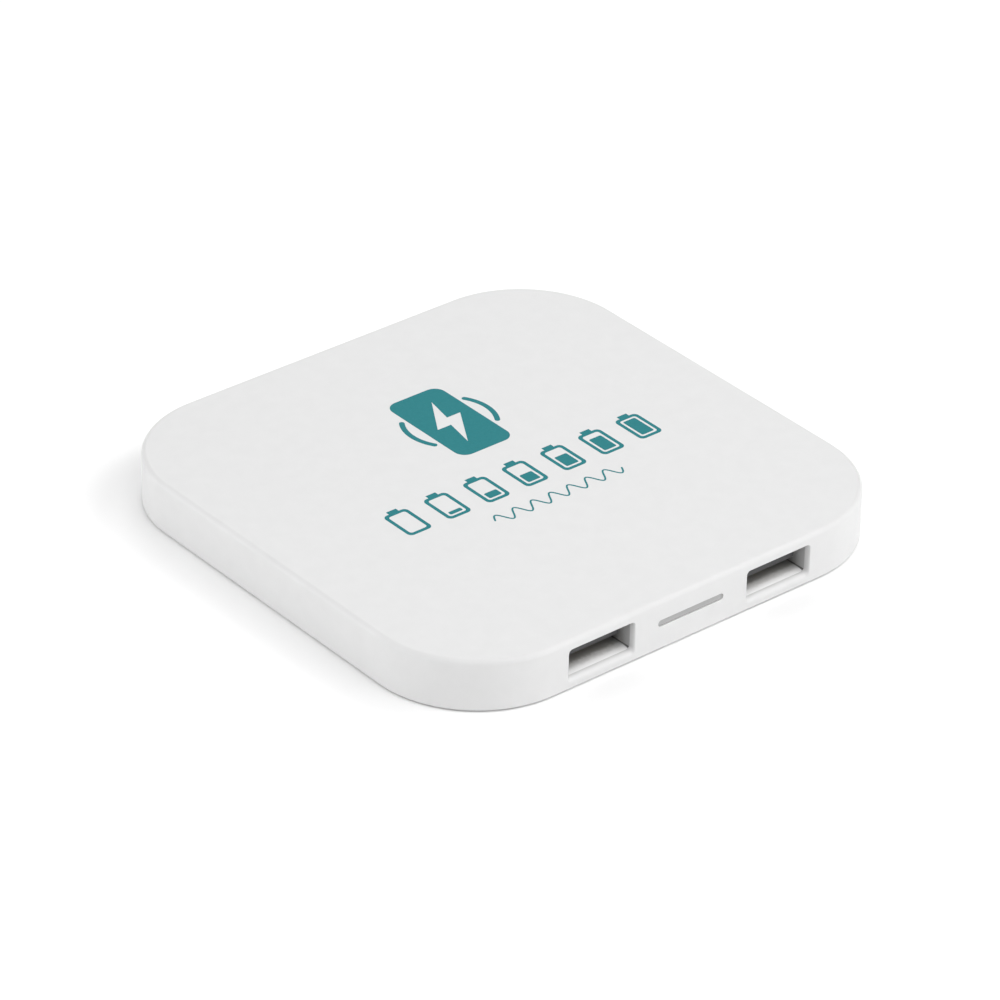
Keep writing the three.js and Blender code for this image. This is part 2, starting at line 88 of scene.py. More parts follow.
class Nodes:
    """A small material builder: every texture reads the piece's own coordinates, in millimetres."""

    def __init__(self, name):
        self.m = bpy.data.materials.new(name)
        self.m.use_nodes = True
        self.t = self.m.node_tree
        self.t.nodes.clear()
        self.out = self.add("ShaderNodeOutputMaterial")
        self.b = self.add("ShaderNodeBsdfPrincipled")
        self.link(self.b.outputs[0], self.out.inputs[0])
        tc = self.add("ShaderNodeTexCoord")
        mp = self.add("ShaderNodeMapping")
        mp.inputs["Scale"].default_value = (1000, 1000, 1000)
        self.link(tc.outputs["Object"], mp.inputs["Vector"])
        self.mm = mp.outputs["Vector"]

    def add(self, kind):
        return self.t.nodes.new(kind)

    def link(self, a, b):
        self.t.links.new(a, b)

    def set(self, **kw):
        for k, v in kw.items():
            self.b.inputs[k.replace("_", " ")].default_value = v
        return self

    def scaled(self, x, y, z, source=None):
        mp = self.add("ShaderNodeMapping")
        mp.inputs["Scale"].default_value = (x, y, z)
        self.link(source or self.mm, mp.inputs["Vector"])
        return mp.outputs["Vector"]

    def noise(self, scale, detail=2.0, rough=0.5, vector=None, distortion=0.0):
        n = self.add("ShaderNodeTexNoise")
        n.inputs["Scale"].default_value = scale
        n.inputs["Detail"].default_value = detail
        n.inputs["Roughness"].default_value = rough
        n.inputs["Distortion"].default_value = distortion
        self.link(vector or self.mm, n.inputs["Vector"])
        return n.outputs["Fac"]

    def voronoi(self, scale, feature="F1", distance="EUCLIDEAN", vector=None, randomness=1.0, out="Distance"):
        n = self.add("ShaderNodeTexVoronoi")
        n.feature = feature
        if feature != "DISTANCE_TO_EDGE":
            n.distance = distance
        n.inputs["Scale"].default_value = scale
        n.inputs["Randomness"].default_value = randomness
        self.link(vector or self.mm, n.inputs["Vector"])
        return n.outputs[out]

    def ramp(self, fac, stops):
        r = self.add("ShaderNodeValToRGB")
        els = r.color_ramp.elements
        while len(els) < len(stops):
            els.new(0.5)
        for e, (pos, col) in zip(els, stops):
            e.position = pos
            e.color = (col[0], col[1], col[2], 1.0)
        self.link(fac, r.inputs["Fac"])
        return r.outputs["Color"]

    def remap(self, fac, lo, hi, a=0.0, b=1.0):
        r = self.add("ShaderNodeMapRange")
        r.inputs["From Min"].default_value, r.inputs["From Max"].default_value = a, b
        r.inputs["To Min"].default_value, r.inputs["To Max"].default_value = lo, hi
        self.link(fac, r.inputs["Value"])
        return r.outputs["Result"]

    def math(self, op, a, b=None):
        n = self.add("ShaderNodeMath")
        n.operation = op
        for i, x in enumerate((a, b)):
            if x is None:
                continue
            if isinstance(x, (int, float)):
                n.inputs[i].default_value = x
            else:
                self.link(x, n.inputs[i])
        return n.outputs[0]

    def mix(self, fac, a, b):
        n = self.add("ShaderNodeMix")
        n.data_type = "RGBA"
        self.link(fac, n.inputs["Factor"])
        for x, key in ((a, 6), (b, 7)):
            if isinstance(x, tuple):
                n.inputs[key].default_value = (*x, 1.0)
            else:
                self.link(x, n.inputs[key])
        return n.outputs[2]

    def color(self, socket):
        self.link(socket, self.b.inputs["Base Color"])
        return self

    def rough(self, socket):
        self.link(socket, self.b.inputs["Roughness"])
        return self

    def bump(self, *layers):
        """Each layer is (height socket, strength, distance in millimetres)."""
        last = None
        for height, strength, distance in layers:
            n = self.add("ShaderNodeBump")
            n.inputs["Strength"].default_value = strength
            n.inputs["Distance"].default_value = distance * 0.001
            self.link(height, n.inputs["Height"])
            if last is not None:
                self.link(last, n.inputs["Normal"])
            last = n.outputs["Normal"]
        self.link(last, self.b.inputs["Normal"])
        return self


def spread(c, amount):
    return tuple(max(0.0, x - amount * x) for x in c), tuple(min(1.0, x + amount * x) for x in c)


def moulded(name, c, rough=(0.42, 0.52), grain=0.16, depth=0.004, vary=0.012, specular=0.5):
    """Moulded plastic with a fine spark-eroded surface."""
    n = Nodes(name)
    lo, hi = spread(c, vary)
    n.color(n.ramp(n.noise(0.35, 3.0, 0.55), [(0.3, lo), (0.7, hi)]))
    n.rough(n.remap(n.noise(1.7, 3.0, 0.6), rough[0], rough[1], 0.25, 0.75))
    n.bump((n.noise(0.05, 2.0, 0.4), 0.25, 0.01), (n.voronoi(1.0 / grain), 0.35, depth), (n.noise(1.6 / grain, 2.0, 0.6), 0.4, depth))
    n.set(Specular_IOR_Level=specular, IOR=1.5)
    return n.m


def metal(name, c, rough=(0.26, 0.4), brush=(1.0, 14.0, 14.0), depth=0.002, metallic=1.0):
    n = Nodes(name)
    lo, hi = spread(c, 0.06)
    streak = n.noise(3.0, 3.0, 0.6, n.scaled(*brush))
    n.color(n.ramp(n.noise(0.9, 3.0, 0.6), [(0.3, lo), (0.7, hi)]))
    n.rough(n.remap(streak, rough[0], rough[1], 0.25, 0.75))
    n.bump((streak, 0.4, depth))
    n.set(Metallic=metallic)
    return n.m


def socket_steel():
    """Matt nickel plate with painted light and shade: bright at the mouth and painted darker further in, its side walls
    painted darker still.
    """
    n = Nodes("socket_steel")
    sep = n.add("ShaderNodeSeparateXYZ")
    n.link(n.mm, sep.inputs[0])
    depth = n.math("ADD", n.remap(n.math("ABSOLUTE", sep.outputs["Y"]), 1.0, 0.0, 39.0, 44.0),
                   n.remap(n.noise(1.2, 3.0, 0.6), -0.03, 0.03, 0.3, 0.7))
    # painted light and shade: the colour is bright at the mouth and darkens with depth into the socket
    painted_depth_shade = n.ramp(depth, [(0.0, (0.95, 0.95, 0.948)), (0.14, (0.945, 0.945, 0.943)), (0.24, (0.765, 0.765, 0.762)), (0.36, (0.625, 0.625, 0.622)),
                          (0.48, (0.345, 0.345, 0.342)), (0.60, (0.27, 0.27, 0.267)), (0.72, (0.24, 0.24, 0.237)), (1.0, (0.235, 0.235, 0.232))])
    # painted shade: the side walls get their own darker ramp
    painted_wall_shade = n.ramp(depth, [(0.0, (0.48, 0.48, 0.478)), (0.3, (0.45, 0.45, 0.448)), (0.5, (0.41, 0.41, 0.408)), (0.8, (0.27, 0.27, 0.268)),
                               (1.0, (0.22, 0.22, 0.218))])
    aside = n.math("ABSOLUTE", n.math("SUBTRACT", n.math("ABSOLUTE", sep.outputs["X"]), 17.55))
    wall = n.math("GREATER_THAN", aside, 6.15)
    # painted shade: a dark line along the bend where the side walls meet the floor
    low = n.math("LESS_THAN", n.math("ABSOLUTE", n.math("SUBTRACT", sep.outputs["Z"], 2.1)), 0.2)
    painted_bend_shade = n.math("MULTIPLY", n.math("GREATER_THAN", aside, 6.05), low)

    def blend(fac, base, over, mode="MIX"):
        x = n.add("ShaderNodeMix")
        x.data_type, x.blend_type = "RGBA", mode
        n.link(fac, x.inputs["Factor"])
        n.link(base, x.inputs[6])
        if isinstance(over, float):
            x.inputs[7].default_value = (over, over, over, 1.0)
        else:
            n.link(over, x.inputs[7])
        return x.outputs[2]

    # painted shade on the side walls and a painted dark line in the bend along the floor; the outside is plain plating
    outside = n.math("MAXIMUM", n.math("GREATER_THAN", aside, 6.42), n.math("GREATER_THAN", n.math("ABSOLUTE", n.math("SUBTRACT", sep.outputs["Z"], 4.56)), 2.7))
    plating = n.ramp(n.noise(0.9, 3.0, 0.6), [(0.3, (0.60, 0.60, 0.595)), (0.7, (0.66, 0.66, 0.655))])
    n.color(blend(outside, blend(painted_bend_shade, blend(wall, painted_depth_shade, painted_wall_shade), 0.36, "MULTIPLY"), plating))
    streak = n.noise(3.0, 3.0, 0.6, n.scaled(14.0, 1.0, 14.0))
    n.rough(n.remap(streak, 0.44, 0.58, 0.25, 0.75))
    n.link(n.remap(outside, 0.08, 0.9), n.b.inputs["Metallic"])
    n.bump((streak, 0.35, 0.002))
    return n.m


WHITE = moulded("white_shell", (0.68, 0.68, 0.68))
PLATE_WHITE = moulded("white_plate", (0.67, 0.67, 0.67), grain=0.22, depth=0.006)
INSULATOR = moulded("socket_insulator", (0.05, 0.05, 0.0515), rough=(0.42, 0.55), grain=0.12, depth=0.002)
RUBBER = moulded("foot_rubber", (0.36, 0.365, 0.37), rough=(0.72, 0.85), grain=0.25, depth=0.012, vary=0.05, specular=0.35)
STEEL = socket_steel()
PLATED = metal("inlet_plate", (0.66, 0.65, 0.63), rough=(0.28, 0.42))
ZINC = metal("screw_zinc", (0.42, 0.43, 0.45), rough=(0.3, 0.5), brush=(4, 4, 4))
GOLD = metal("contact_gold", (0.83, 0.61, 0.28), rough=(0.18, 0.3))
TIN = metal("solder_tin", (0.62, 0.62, 0.64), rough=(0.2, 0.42), brush=(2, 2, 2), depth=0.01)
CHIP = moulded("chip_epoxy", (0.022, 0.022, 0.024), rough=(0.5, 0.68), grain=0.1, depth=0.006, vary=0.2, specular=0.4)
CAP = moulded("capacitor_ceramic", (0.33, 0.22, 0.115), rough=(0.4, 0.55), grain=0.12, depth=0.003, vary=0.1)
CHOKE = moulded("choke_ferrite", (0.035, 0.035, 0.038), rough=(0.55, 0.75), grain=0.2, depth=0.015, vary=0.3)
DARK_PLASTIC = moulded("inlet_insulator", (0.025, 0.025, 0.026), rough=(0.4, 0.5), grain=0.12, depth=0.002, vary=0.1)


def ink_material():
    """Pad-printed ink: an even film with a faint grain and a slightly silky surface."""
    n = Nodes("teal_ink")
    n.color(n.ramp(n.noise(2.2, 4.0, 0.6), [(0.3, (0.013, 0.180, 0.200)), (0.7, (0.017, 0.194, 0.215))]))
    n.rough(n.remap(n.noise(6.0, 2.0), 0.4, 0.52, 0.3, 0.7))
    n.bump((n.noise(9.0, 3.0, 0.6), 0.3, 0.003))
    n.set(Specular_IOR_Level=0.1)
    return n.m


def frosted_material():
    """The light bar: frosted acrylic, unlit, slightly cloudy."""
    n = Nodes("frosted_light")
    n.color(n.ramp(n.noise(0.6, 3.0, 0.6), [(0.3, (0.366, 0.366, 0.366)), (0.7, (0.382, 0.382, 0.382))]))
    n.rough(n.remap(n.noise(4.0, 2.0), 0.34, 0.46, 0.3, 0.7))
    n.bump((n.noise(12.0, 2.0, 0.6), 0.3, 0.003))
    n.set(Specular_IOR_Level=0.5, IOR=1.49)
    return n.m


def board_material():
    """Green solder mask over copper tracks, bare laminate on the cut edges."""
    n = Nodes("circuit_board")
    flat = n.scaled(1.0, 1.0, 0.0)
    at = n.add("ShaderNodeSeparateXYZ")
    n.link(n.mm, at.inputs[0])

    def hashed(u, v):
        xyz, white = n.add("ShaderNodeCombineXYZ"), n.add("ShaderNodeTexWhiteNoise")
        white.noise_dimensions = "2D"
        for socket, value in zip(xyz.inputs, (u, v)):
            if isinstance(value, (int, float)):
                socket.default_value = value
            else:
                n.link(value, socket)
        n.link(xyz.outputs[0], white.inputs["Vector"])
        return white.outputs["Value"]

    def tracks(along, across, pitch, length, seed, share):
        """Straight tracks in lanes: returns the copper and the cleared strip around it."""
        lane_at = n.math("ADD", n.math("DIVIDE", across, pitch), seed)
        lane = n.math("FLOOR", lane_at)
        off = n.math("MULTIPLY", n.math("ABSOLUTE", n.math("SUBTRACT", n.math("SUBTRACT", lane_at, lane), 0.5)), pitch)
        run_at = n.math("ADD", n.math("DIVIDE", along, length), n.math("MULTIPLY", hashed(lane, seed), 9.0))
        drawn = n.math("LESS_THAN", hashed(n.math("FLOOR", run_at), lane), share)
        return (n.math("MULTIPLY", drawn, n.math("LESS_THAN", off, 0.13)), n.math("MULTIPLY", drawn, n.math("LESS_THAN", off, 0.27)))

    core_x, clear_x = tracks(at.outputs["X"], at.outputs["Y"], 0.85, 6.3, 3.5, 0.34)
    core_y, clear_y = tracks(at.outputs["Y"], at.outputs["X"], 0.95, 8.1, 7.5, 0.28)
    cleared = n.math("MULTIPLY", n.math("MAXIMUM", clear_x, clear_y), n.math("SUBTRACT", 1.0, n.math("MAXIMUM", core_x, core_y)))
    line = n.math("SUBTRACT", 1.0, cleared)
    via = n.math("LESS_THAN", n.voronoi(0.42, "F1", "EUCLIDEAN", flat, 1.0), 0.1)
    tint = n.noise(0.2, 3.0, 0.5)
    mask = n.ramp(tint, [(0.3, (0.006, 0.085, 0.038)), (0.7, (0.009, 0.105, 0.048))])
    over = n.ramp(tint, [(0.3, (0.02, 0.19, 0.075)), (0.7, (0.026, 0.21, 0.085))])
    top = n.mix(line, mask, over)
    top = n.mix(via, top, (0.55, 0.42, 0.2))
    geo = n.add("ShaderNodeNewGeometry")
    sep = n.add("ShaderNodeSeparateXYZ")
    n.link(geo.outputs["Normal"], sep.inputs[0])
    face = n.math("GREATER_THAN", n.math("ABSOLUTE", sep.outputs["Z"]), 0.7)
    glass = n.ramp(n.noise(3.0, 2.0, 0.5, n.scaled(0.3, 0.3, 6.0)), [(0.3, (0.36, 0.30, 0.12)), (0.7, (0.50, 0.43, 0.2))])
    n.color(n.mix(face, glass, top))
    n.rough(n.remap(n.noise(1.2, 2.0), 0.28, 0.4, 0.3, 0.7))
    n.bump((line, 0.4, 0.03), (n.noise(5.0, 2.0), 0.2, 0.004))
    n.set(Specular_IOR_Level=0.5)
    return n.m


def litz_material():
    """Enamelled strands twisted into one round wire, drawn along the wire by its own UV map."""
    n = Nodes("coil_litz")
    uv = n.add("ShaderNodeUVMap")
    uv.uv_map = "along"
    mp = n.add("ShaderNodeMapping")
    mp.inputs["Rotation"].default_value = (0, 0, math.radians(28))
    n.link(uv.outputs[0], mp.inputs["Vector"])
    w = n.add("ShaderNodeTexWave")
    w.wave_type, w.bands_direction, w.wave_profile = "BANDS", "Y", "SIN"
    w.inputs["Scale"].default_value = 1.6
    w.inputs["Distortion"].default_value = 0.6
    w.inputs["Detail"].default_value = 1.0
    n.link(mp.outputs[0], w.inputs["Vector"])
    strand = w.outputs["Fac"]
    # painted shade: the colour darkens in the grooves between strands, where the bump is low
    n.color(n.mix(n.remap(strand, 0.0, 1.0, 0.1, 0.8),
                  n.ramp(n.noise(0.8, 3.0), [(0.3, (0.16, 0.045, 0.016)), (0.7, (0.21, 0.06, 0.02))]),
                  n.ramp(n.noise(0.5, 3.0), [(0.3, (0.60, 0.235, 0.095)), (0.7, (0.70, 0.29, 0.12))])))
    n.rough(n.remap(n.noise(3.0, 2.0), 0.28, 0.42, 0.3, 0.7))
    n.bump((strand, 0.8, 0.05))
    n.set(Metallic=0.75, Coat_Weight=0.3, Coat_Roughness=0.2)
    return n.m


def ferrite_material():
    n = Nodes("ferrite_sheet")
    crack = n.remap(n.voronoi(0.22, "DISTANCE_TO_EDGE"), 0.0, 1.0, 0.0, 0.012)
    body = n.ramp(n.noise(6.0, 4.0, 0.7), [(0.3, (0.03, 0.03, 0.033)), (0.7, (0.055, 0.055, 0.06))])
    n.color(n.mix(crack, (0.012, 0.012, 0.013), body))
    n.rough(n.remap(n.noise(2.0, 3.0), 0.6, 0.8, 0.3, 0.7))
    n.bump((crack, 0.4, 0.02), (n.noise(9.0, 3.0), 0.5, 0.012))
    return n.m


def tape_material():
    n = Nodes("coil_tape")
    n.color(n.ramp(n.noise(2.5, 5.0, 0.7), [(0.3, (0.60, 0.585, 0.53)), (0.7, (0.70, 0.69, 0.64))]))
    n.rough(n.remap(n.noise(8.0, 4.0), 0.45, 0.7, 0.3, 0.7))
    n.bump((n.noise(14.0, 4.0, 0.7, n.scaled(1, 0.2, 1)), 0.5, 0.012))
    return n.m


def lamp_material():
    n = Nodes("lamp_resin")
    n.color(n.ramp(n.noise(4.0, 3.0), [(0.3, (0.70, 0.60, 0.22)), (0.7, (0.78, 0.70, 0.32))]))
    n.rough(n.remap(n.noise(5.0, 2.0), 0.15, 0.3, 0.3, 0.7))
    n.bump((n.noise(6.0, 2.0), 0.3, 0.004))
    return n.m


INK = ink_material()
FROSTED = frosted_material()
BOARD = board_material()
LITZ = litz_material()
FERRITE = ferrite_material()
TAPE = tape_material()
LAMP = lamp_material()
LAMP_CASE = moulded("lamp_case", (0.72, 0.72, 0.70), rough=(0.35, 0.45), grain=0.1, depth=0.002)

# ---------------------------------------------------------------- mesh helpers


def rounded(w, h, r, seg, cx=0.0, cy=0.0):
    """Outline of a rectangle with round corners, as (a, b) pairs, anticlockwise."""
    pts = []
    for k, (sx, sy) in enumerate(((1, -1), (1, 1), (-1, 1), (-1, -1))):
        ox, oy = cx + sx * (w / 2 - r), cy + sy * (h / 2 - r)
        start = -math.pi / 2 + k * math.pi / 2
        for i in range(seg + 1):
            a = start + (math.pi / 2) * i / seg
            pts.append((ox + r * math.cos(a), oy + r * math.sin(a)))
    return pts


def circle(r, seg, cx=0.0, cy=0.0):
    return [(cx + r * math.cos(2 * math.pi * i / seg), cy + r * math.sin(2 * math.pi * i / seg)) for i in range(seg)]


def in_z(outline, z):
    return [V(a, b, z) for a, b in outline]


def in_y(outline, y):
    """The outline's pairs are x and z; it lies in the plane at y."""
    return [V(a, y, b) for a, b in outline]


def in_x(outline, x):
    return [V(x, a, b) for a, b in outline]


def add_loft(bm, rings, mat=0, smooth=True):
    rows = [[bm.verts.new(p) for p in ring] for ring in rings]
    faces = []
    for a, b in zip(rows, rows[1:]):
        n = len(a)
        for i in range(n):
            j = (i + 1) % n
            faces.append(bm.faces.new((a[i], a[j], b[j], b[i])))
    faces.append(bm.faces.new(list(reversed(rows[0]))))
    faces.append(bm.faces.new(rows[-1]))
    for f in faces:
        f.material_index = mat
        f.smooth = smooth
    return faces


def add_turned(bm, profile, x, y, seg, mat=0, axis="Z"):
    """A closed profile of (radius, height) pairs that starts and ends on the axis."""
    rows = []
    for r, h in profile:
        if r < 1e-6:
            rows.append([bm.verts.new(V(x, y, h))])
        else:
            rows.append([bm.verts.new(V(x + r * math.cos(2 * math.pi * i / seg), y + r * math.sin(2 * math.pi * i / seg), h)) for i in range(seg)])
    for a, b in zip(rows, rows[1:]):
        for i in range(seg):
            j = (i + 1) % seg
            if len(a) == 1 and len(b) == 1:
                continue
            if len(a) == 1:
                f = bm.faces.new((a[0], b[j], b[i]))
            elif len(b) == 1:
                f = bm.faces.new((a[i], a[j], b[0]))
            else:
                f = bm.faces.new((a[i], a[j], b[j], b[i]))
            f.material_index = mat
            f.smooth = True


def add_box(bm, x0, x1, y0, y1, z0, z1, bevel=0.0, seg=2, mat=0):
    made = bmesh.ops.create_cube(bm, size=1.0, matrix=Matrix.Translation(V((x0 + x1) / 2, (y0 + y1) / 2, (z0 + z1) / 2))
                                 @ Matrix.Diagonal((*(V(x1 - x0, y1 - y0, z1 - z0)), 1.0)))
    verts = made["verts"]
    faces = list({f for v in verts for f in v.link_faces})
    for f in faces:
        f.material_index = mat
        f.smooth = True
    if bevel > 0:
        edges = list({e for v in verts for e in v.link_edges})
        out = bmesh.ops.bevel(bm, geom=edges, offset=bevel * 0.001, segments=seg, profile=0.5, affect="EDGES", clamp_overlap=True)
        for f in out["faces"]:
            f.material_index = mat
            f.smooth = True


def make(name, bm, mats, recalc=True):
    if recalc:
        bmesh.ops.recalc_face_normals(bm, faces=bm.faces)
    me = bpy.data.meshes.new(name)
    bm.to_mesh(me)
    bm.free()
    ob = bpy.data.objects.new(name, me)
    scene.collection.objects.link(ob)
    for m in mats:
        me.materials.append(m)
    return ob


def boolean(ob, other, op="DIFFERENCE"):
    mod = ob.modifiers.new("cut", "BOOLEAN")
    mod.operation, mod.solver, mod.object = op, "EXACT", other
    dg = bpy.context.evaluated_depsgraph_get()
    me = bpy.data.meshes.new_from_object(ob.evaluated_get(dg))
    ob.modifiers.clear()
    old = ob.data
    me.name = old.name
    ob.data = me
    bpy.data.meshes.remove(old)
    bpy.data.objects.remove(other)
    return ob


def loft_object(rings, mats=(), name="cutter"):
    bm = bmesh.new()
    add_loft(bm, rings)
    return make(name, bm, mats)


def box_object(*args, **kw):
    bm = bmesh.new()
    add_box(bm, *args, **kw)
    return make("cutter", bm, ())


def shade(ob, angle=32.0, weighted=True):
    """Smooth faces, sharp where two faces meet at more than the angle, and flat faces keep their own normal."""
    bm = bmesh.new()
    bm.from_mesh(ob.data)
    bmesh.ops.remove_doubles(bm, verts=bm.verts, dist=1e-7)
    bmesh.ops.dissolve_degenerate(bm, edges=bm.edges, dist=1e-7)
    for f in bm.faces:
        f.smooth = True
    for e in bm.edges:
        e.smooth = not (len(e.link_faces) == 2 and e.calc_face_angle(0.0) > math.radians(angle))
    bm.to_mesh(ob.data)
    bm.free()
    if weighted:
        mod = ob.modifiers.new("normals", "WEIGHTED_NORMAL")
        mod.keep_sharp = True
        mod.weight = 60
    return ob


def done(ob, slot, *nodes, angle=32.0, weighted=True):
    shade(ob, angle, weighted)
    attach(ob, "root")
    if nodes:
        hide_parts(*nodes)
    return ob


def flare(outline, y_face, sign, radius, y_end, steps=5, out=0.6):
    """Rings of a cutter that passes through a wall at y_face and rounds the edge it leaves there.
    outline(grow) gives the pairs; sign is the direction into the wall."""
    rings = [in_y(outline(radius), y_face - sign * out)]
    for i in range(steps + 1):
        d = radius * (1 - math.cos(math.pi / 2 * i / steps))
        grow = radius - math.sqrt(max(0.0, radius * radius - (radius - d) ** 2))
        rings.append(in_y(outline(grow), y_face + sign * d))
    rings.append(in_y(outline(0.0), y_end))
    return rings


def mouth_rings(x, steps=14):
    """The cutter for a socket's mouth: crisp at the top and left, softer at the right, and a long soft sill below."""
    sides = {"left": (0.12, 0.12), "right": (0.28, 0.95), "top": (0.12, 0.12), "sill": (0.82, 1.02)}

    def grown(d):
        g = {k: 0.0 if d >= deep else r * (1 - math.sqrt(max(0.0, 1 - (1 - d / deep) ** 2))) for k, (r, deep) in sides.items()}
        w, h = PORT_W + g["left"] + g["right"], PORT_H + g["top"] + g["sill"]
        return rounded(w, h, 0.65 + min(g.values()), 8, x + (g["right"] - g["left"]) / 2, PORT_Z + (g["top"] - g["sill"]) / 2)

    rings = [in_y(grown(0.0), -45.6)]
    for i in range(steps + 1):
        d = 1.0 * (1 - math.cos(math.pi / 2 * i / steps))
        rings.append(in_y(grown(d), -45.0 + d))
    rings.append(in_y(grown(1.0), -43.0))
    return rings


# ---------------------------------------------------------------- top cover


def build_top_cover():
    seg = 28
    bm = bmesh.new()
    rings = []
    edge = 0.12
    for i in range(4):
        a = math.pi / 2 * i / 3
        d = edge * (1 - math.sin(a))
        rings.append(in_z(rounded(CASE - 2 * d, CASE - 2 * d, CORNER - d, seg), Z_BOTTOM + edge * (1 - math.cos(a))))
    for z in (2.6, 5.2, Z_TOP - FILLET):
        rings.append(in_z(rounded(CASE, CASE, CORNER, seg), z))
    for i in range(1, 13):
        a = math.pi / 2 * i / 12
        d = FILLET * (1 - math.cos(a))
        rings.append(in_z(rounded(CASE - 2 * d, CASE - 2 * d, CORNER - d, seg), Z_TOP - FILLET + FILLET * math.sin(a)))
    add_loft(bm, rings)
    ob = make("top_cover_shell", bm, [WHITE])

    low, high = CASE - 2 * WALL_LOW, CASE - 2 * WALL_HIGH
    boolean(ob, loft_object([in_z(rounded(low + 0.3, low + 0.3, CORNER - WALL_LOW + 0.15, 16), -1),
                             in_z(rounded(low + 0.3, low + 0.3, CORNER - WALL_LOW + 0.15, 16), Z_BOTTOM),
                             in_z(rounded(low, low, CORNER - WALL_LOW, 16), Z_BOTTOM + 0.15),
                             in_z(rounded(low, low, CORNER - WALL_LOW, 16), Z_LEDGE)]))
    boolean(ob, loft_object([in_z(rounded(high, high, CORNER - WALL_HIGH, 16), 0.8),
                             in_z(rounded(high, high, CORNER - WALL_HIGH, 16), Z_ROOF - 0.4),
                             in_z(rounded(high - 0.24, high - 0.24, CORNER - WALL_HIGH - 0.12, 16), Z_ROOF - 0.12),
                             in_z(rounded(high - 0.8, high - 0.8, CORNER - WALL_HIGH - 0.4, 16), Z_ROOF)]))
    for side in (-1, 1):
        x = side * PORT_X
        boolean(ob, box_object(x - 7.1, x + 7.1, -44.0, -40.0, Z_LEDGE, Z_ROOF))
        boolean(ob, loft_object(mouth_rings(x)))
    boolean(ob, loft_object(flare(lambda g: rounded(SLOT_W + 2 * g, SLOT_H + 2 * g, SLOT_H / 2 + g - 1e-4, 10, 0, SLOT_Z), -45.0, 1, 0.07, -42.0)))
    boolean(ob, box_object(-5.4, 5.4, 40.0, 44.0, Z_LEDGE, Z_ROOF))
    boolean(ob, loft_object(flare(lambda g: rounded(INLET_W + 2 * g, INLET_H + 2 * g, 0.9 + g, 8, 0, INLET_Z), 45.0, -1, 0.2, 43.0)))

    # screw bosses and the ribs around the coil, joined to the underside of the face
    for _, sx, sy in CORNERS:
        x, y = sx * FOOT_AT, sy * FOOT_AT
        bm = bmesh.new()
        add_turned(bm, [(0, 6.9), (1.2, 6.9), (1.2, 2.85), (1.35, 2.7), (2.7, 2.7), (2.8, 2.8), (2.8, 7.1), (3.1, 7.4), (3.3, 7.7), (0, 7.7)], x, y, 32)
        boolean(ob, make("boss", bm, [WHITE]), "UNION")
    for start, stop in ((160, 230), (250, 320), (340, 410)):
        a, b = math.radians(start), math.radians(stop)
        arc = [(23.9 * math.cos(a + (b - a) * i / 14), 23.9 * math.sin(a + (b - a) * i / 14)) for i in range(15)]
        arc += [(22.9 * math.cos(b - (b - a) * i / 14), 22.9 * math.sin(b - (b - a) * i / 14)) for i in range(15)]
        boolean(ob, loft_object([in_z(arc, 6.3), in_z(arc, 7.7)], [WHITE]), "UNION")
    return done(ob, "white_shell", "top_cover", angle=28.0)


build_top_cover()

# ---------------------------------------------------------------- base plate and feet


def build_base_plate():
    w = CASE - 2 * WALL_LOW - 0.3
    r = CORNER - WALL_LOW - 0.15
    bm = bmesh.new()
    e = 0.18
    rings = []
    for i in range(5):
        a = math.pi / 2 * i / 4
        d = e * (1 - math.sin(a))
        rings.append(in_z(rounded(w - 2 * d, w - 2 * d, r - d, 20), Z_BOTTOM + e * (1 - math.cos(a))))
    rings.append(in_z(rounded(w, w, r, 20), Z_LEDGE - 0.1))
    rings.append(in_z(rounded(w - 0.2, w - 0.2, r - 0.1, 20), Z_LEDGE))
    add_loft(bm, rings)
    ob = make("base_plate_moulding", bm, [PLATE_WHITE])
    for _, sx, sy in CORNERS:
        x, y = sx * FOOT_AT, sy * FOOT_AT
        bm = bmesh.new()
        add_turned(bm, [(0, 1.2), (3.8, 1.2), (3.8, 2.6), (3.7, 2.7), (0, 2.7)], x, y, 32)
        boolean(ob, make("pad", bm, [PLATE_WHITE]), "UNION")
        bm = bmesh.new()
        add_turned(bm, [(0, -0.5), (4.85, -0.5), (4.85, 0.5), (4.75, 0.53), (4.67, 0.6), (4.65, 0.7), (4.65, 1.0),
                        (2.3, 1.0), (2.2, 1.1), (2.2, 2.05), (1.2, 2.05), (1.2, 3.5), (0, 3.5)], x, y, 40)
        boolean(ob, make("bore", bm, ()))
    for x in (-25.5, 25.5):
        for y in (-22.0, 33.0):
            screwed = (x < 0) == (y > 0)
            bm = bmesh.new()
            if screwed:
                add_turned(bm, [(0, 1.2), (2.9, 1.2), (2.9, 1.5), (2.6, 1.65), (2.5, 1.8), (2.5, 2.2), (0, 2.2)], x, y, 28)
                boolean(ob, make("post", bm, [PLATE_WHITE]), "UNION")
                bm = bmesh.new()
                add_turned(bm, [(0, 0.9), (1.05, 0.9), (1.05, 3), (0, 3)], x, y, 24)
                boolean(ob, make("bore", bm, ()))
            else:
                add_turned(bm, [(0, 1.2), (2.9, 1.2), (2.9, 1.5), (2.6, 1.65), (2.5, 1.8), (2.5, 2.2), (0.9, 2.2), (0.9, 3.75),
                                (0.82, 3.95), (0.6, 4.1), (0, 4.1)], x, y, 28)
                boolean(ob, make("pin", bm, [PLATE_WHITE]), "UNION")
    return done(ob, "white_shell", "base_plate", angle=28.0)


build_base_plate()

for where, sx, sy in CORNERS:
    x, y = sx * FOOT_AT, sy * FOOT_AT
    bm = bmesh.new()
    profile = [(0, 0), (3.9, 0)]
    for i in range(1, 9):
        a = math.pi / 2 * i / 8
        profile.append((4.05 + 0.4 * math.sin(a), 0.4 * (1 - math.cos(a))))
    profile += [(4.5, 0.62), (4.5, 1.0), (0, 1.0)]
    add_turned(bm, profile, x, y, 56)
    done(make(f"foot_pad_{where}", bm, [RUBBER]), "foot_rubber", f"foot_{where}")

# ---------------------------------------------------------------- screws


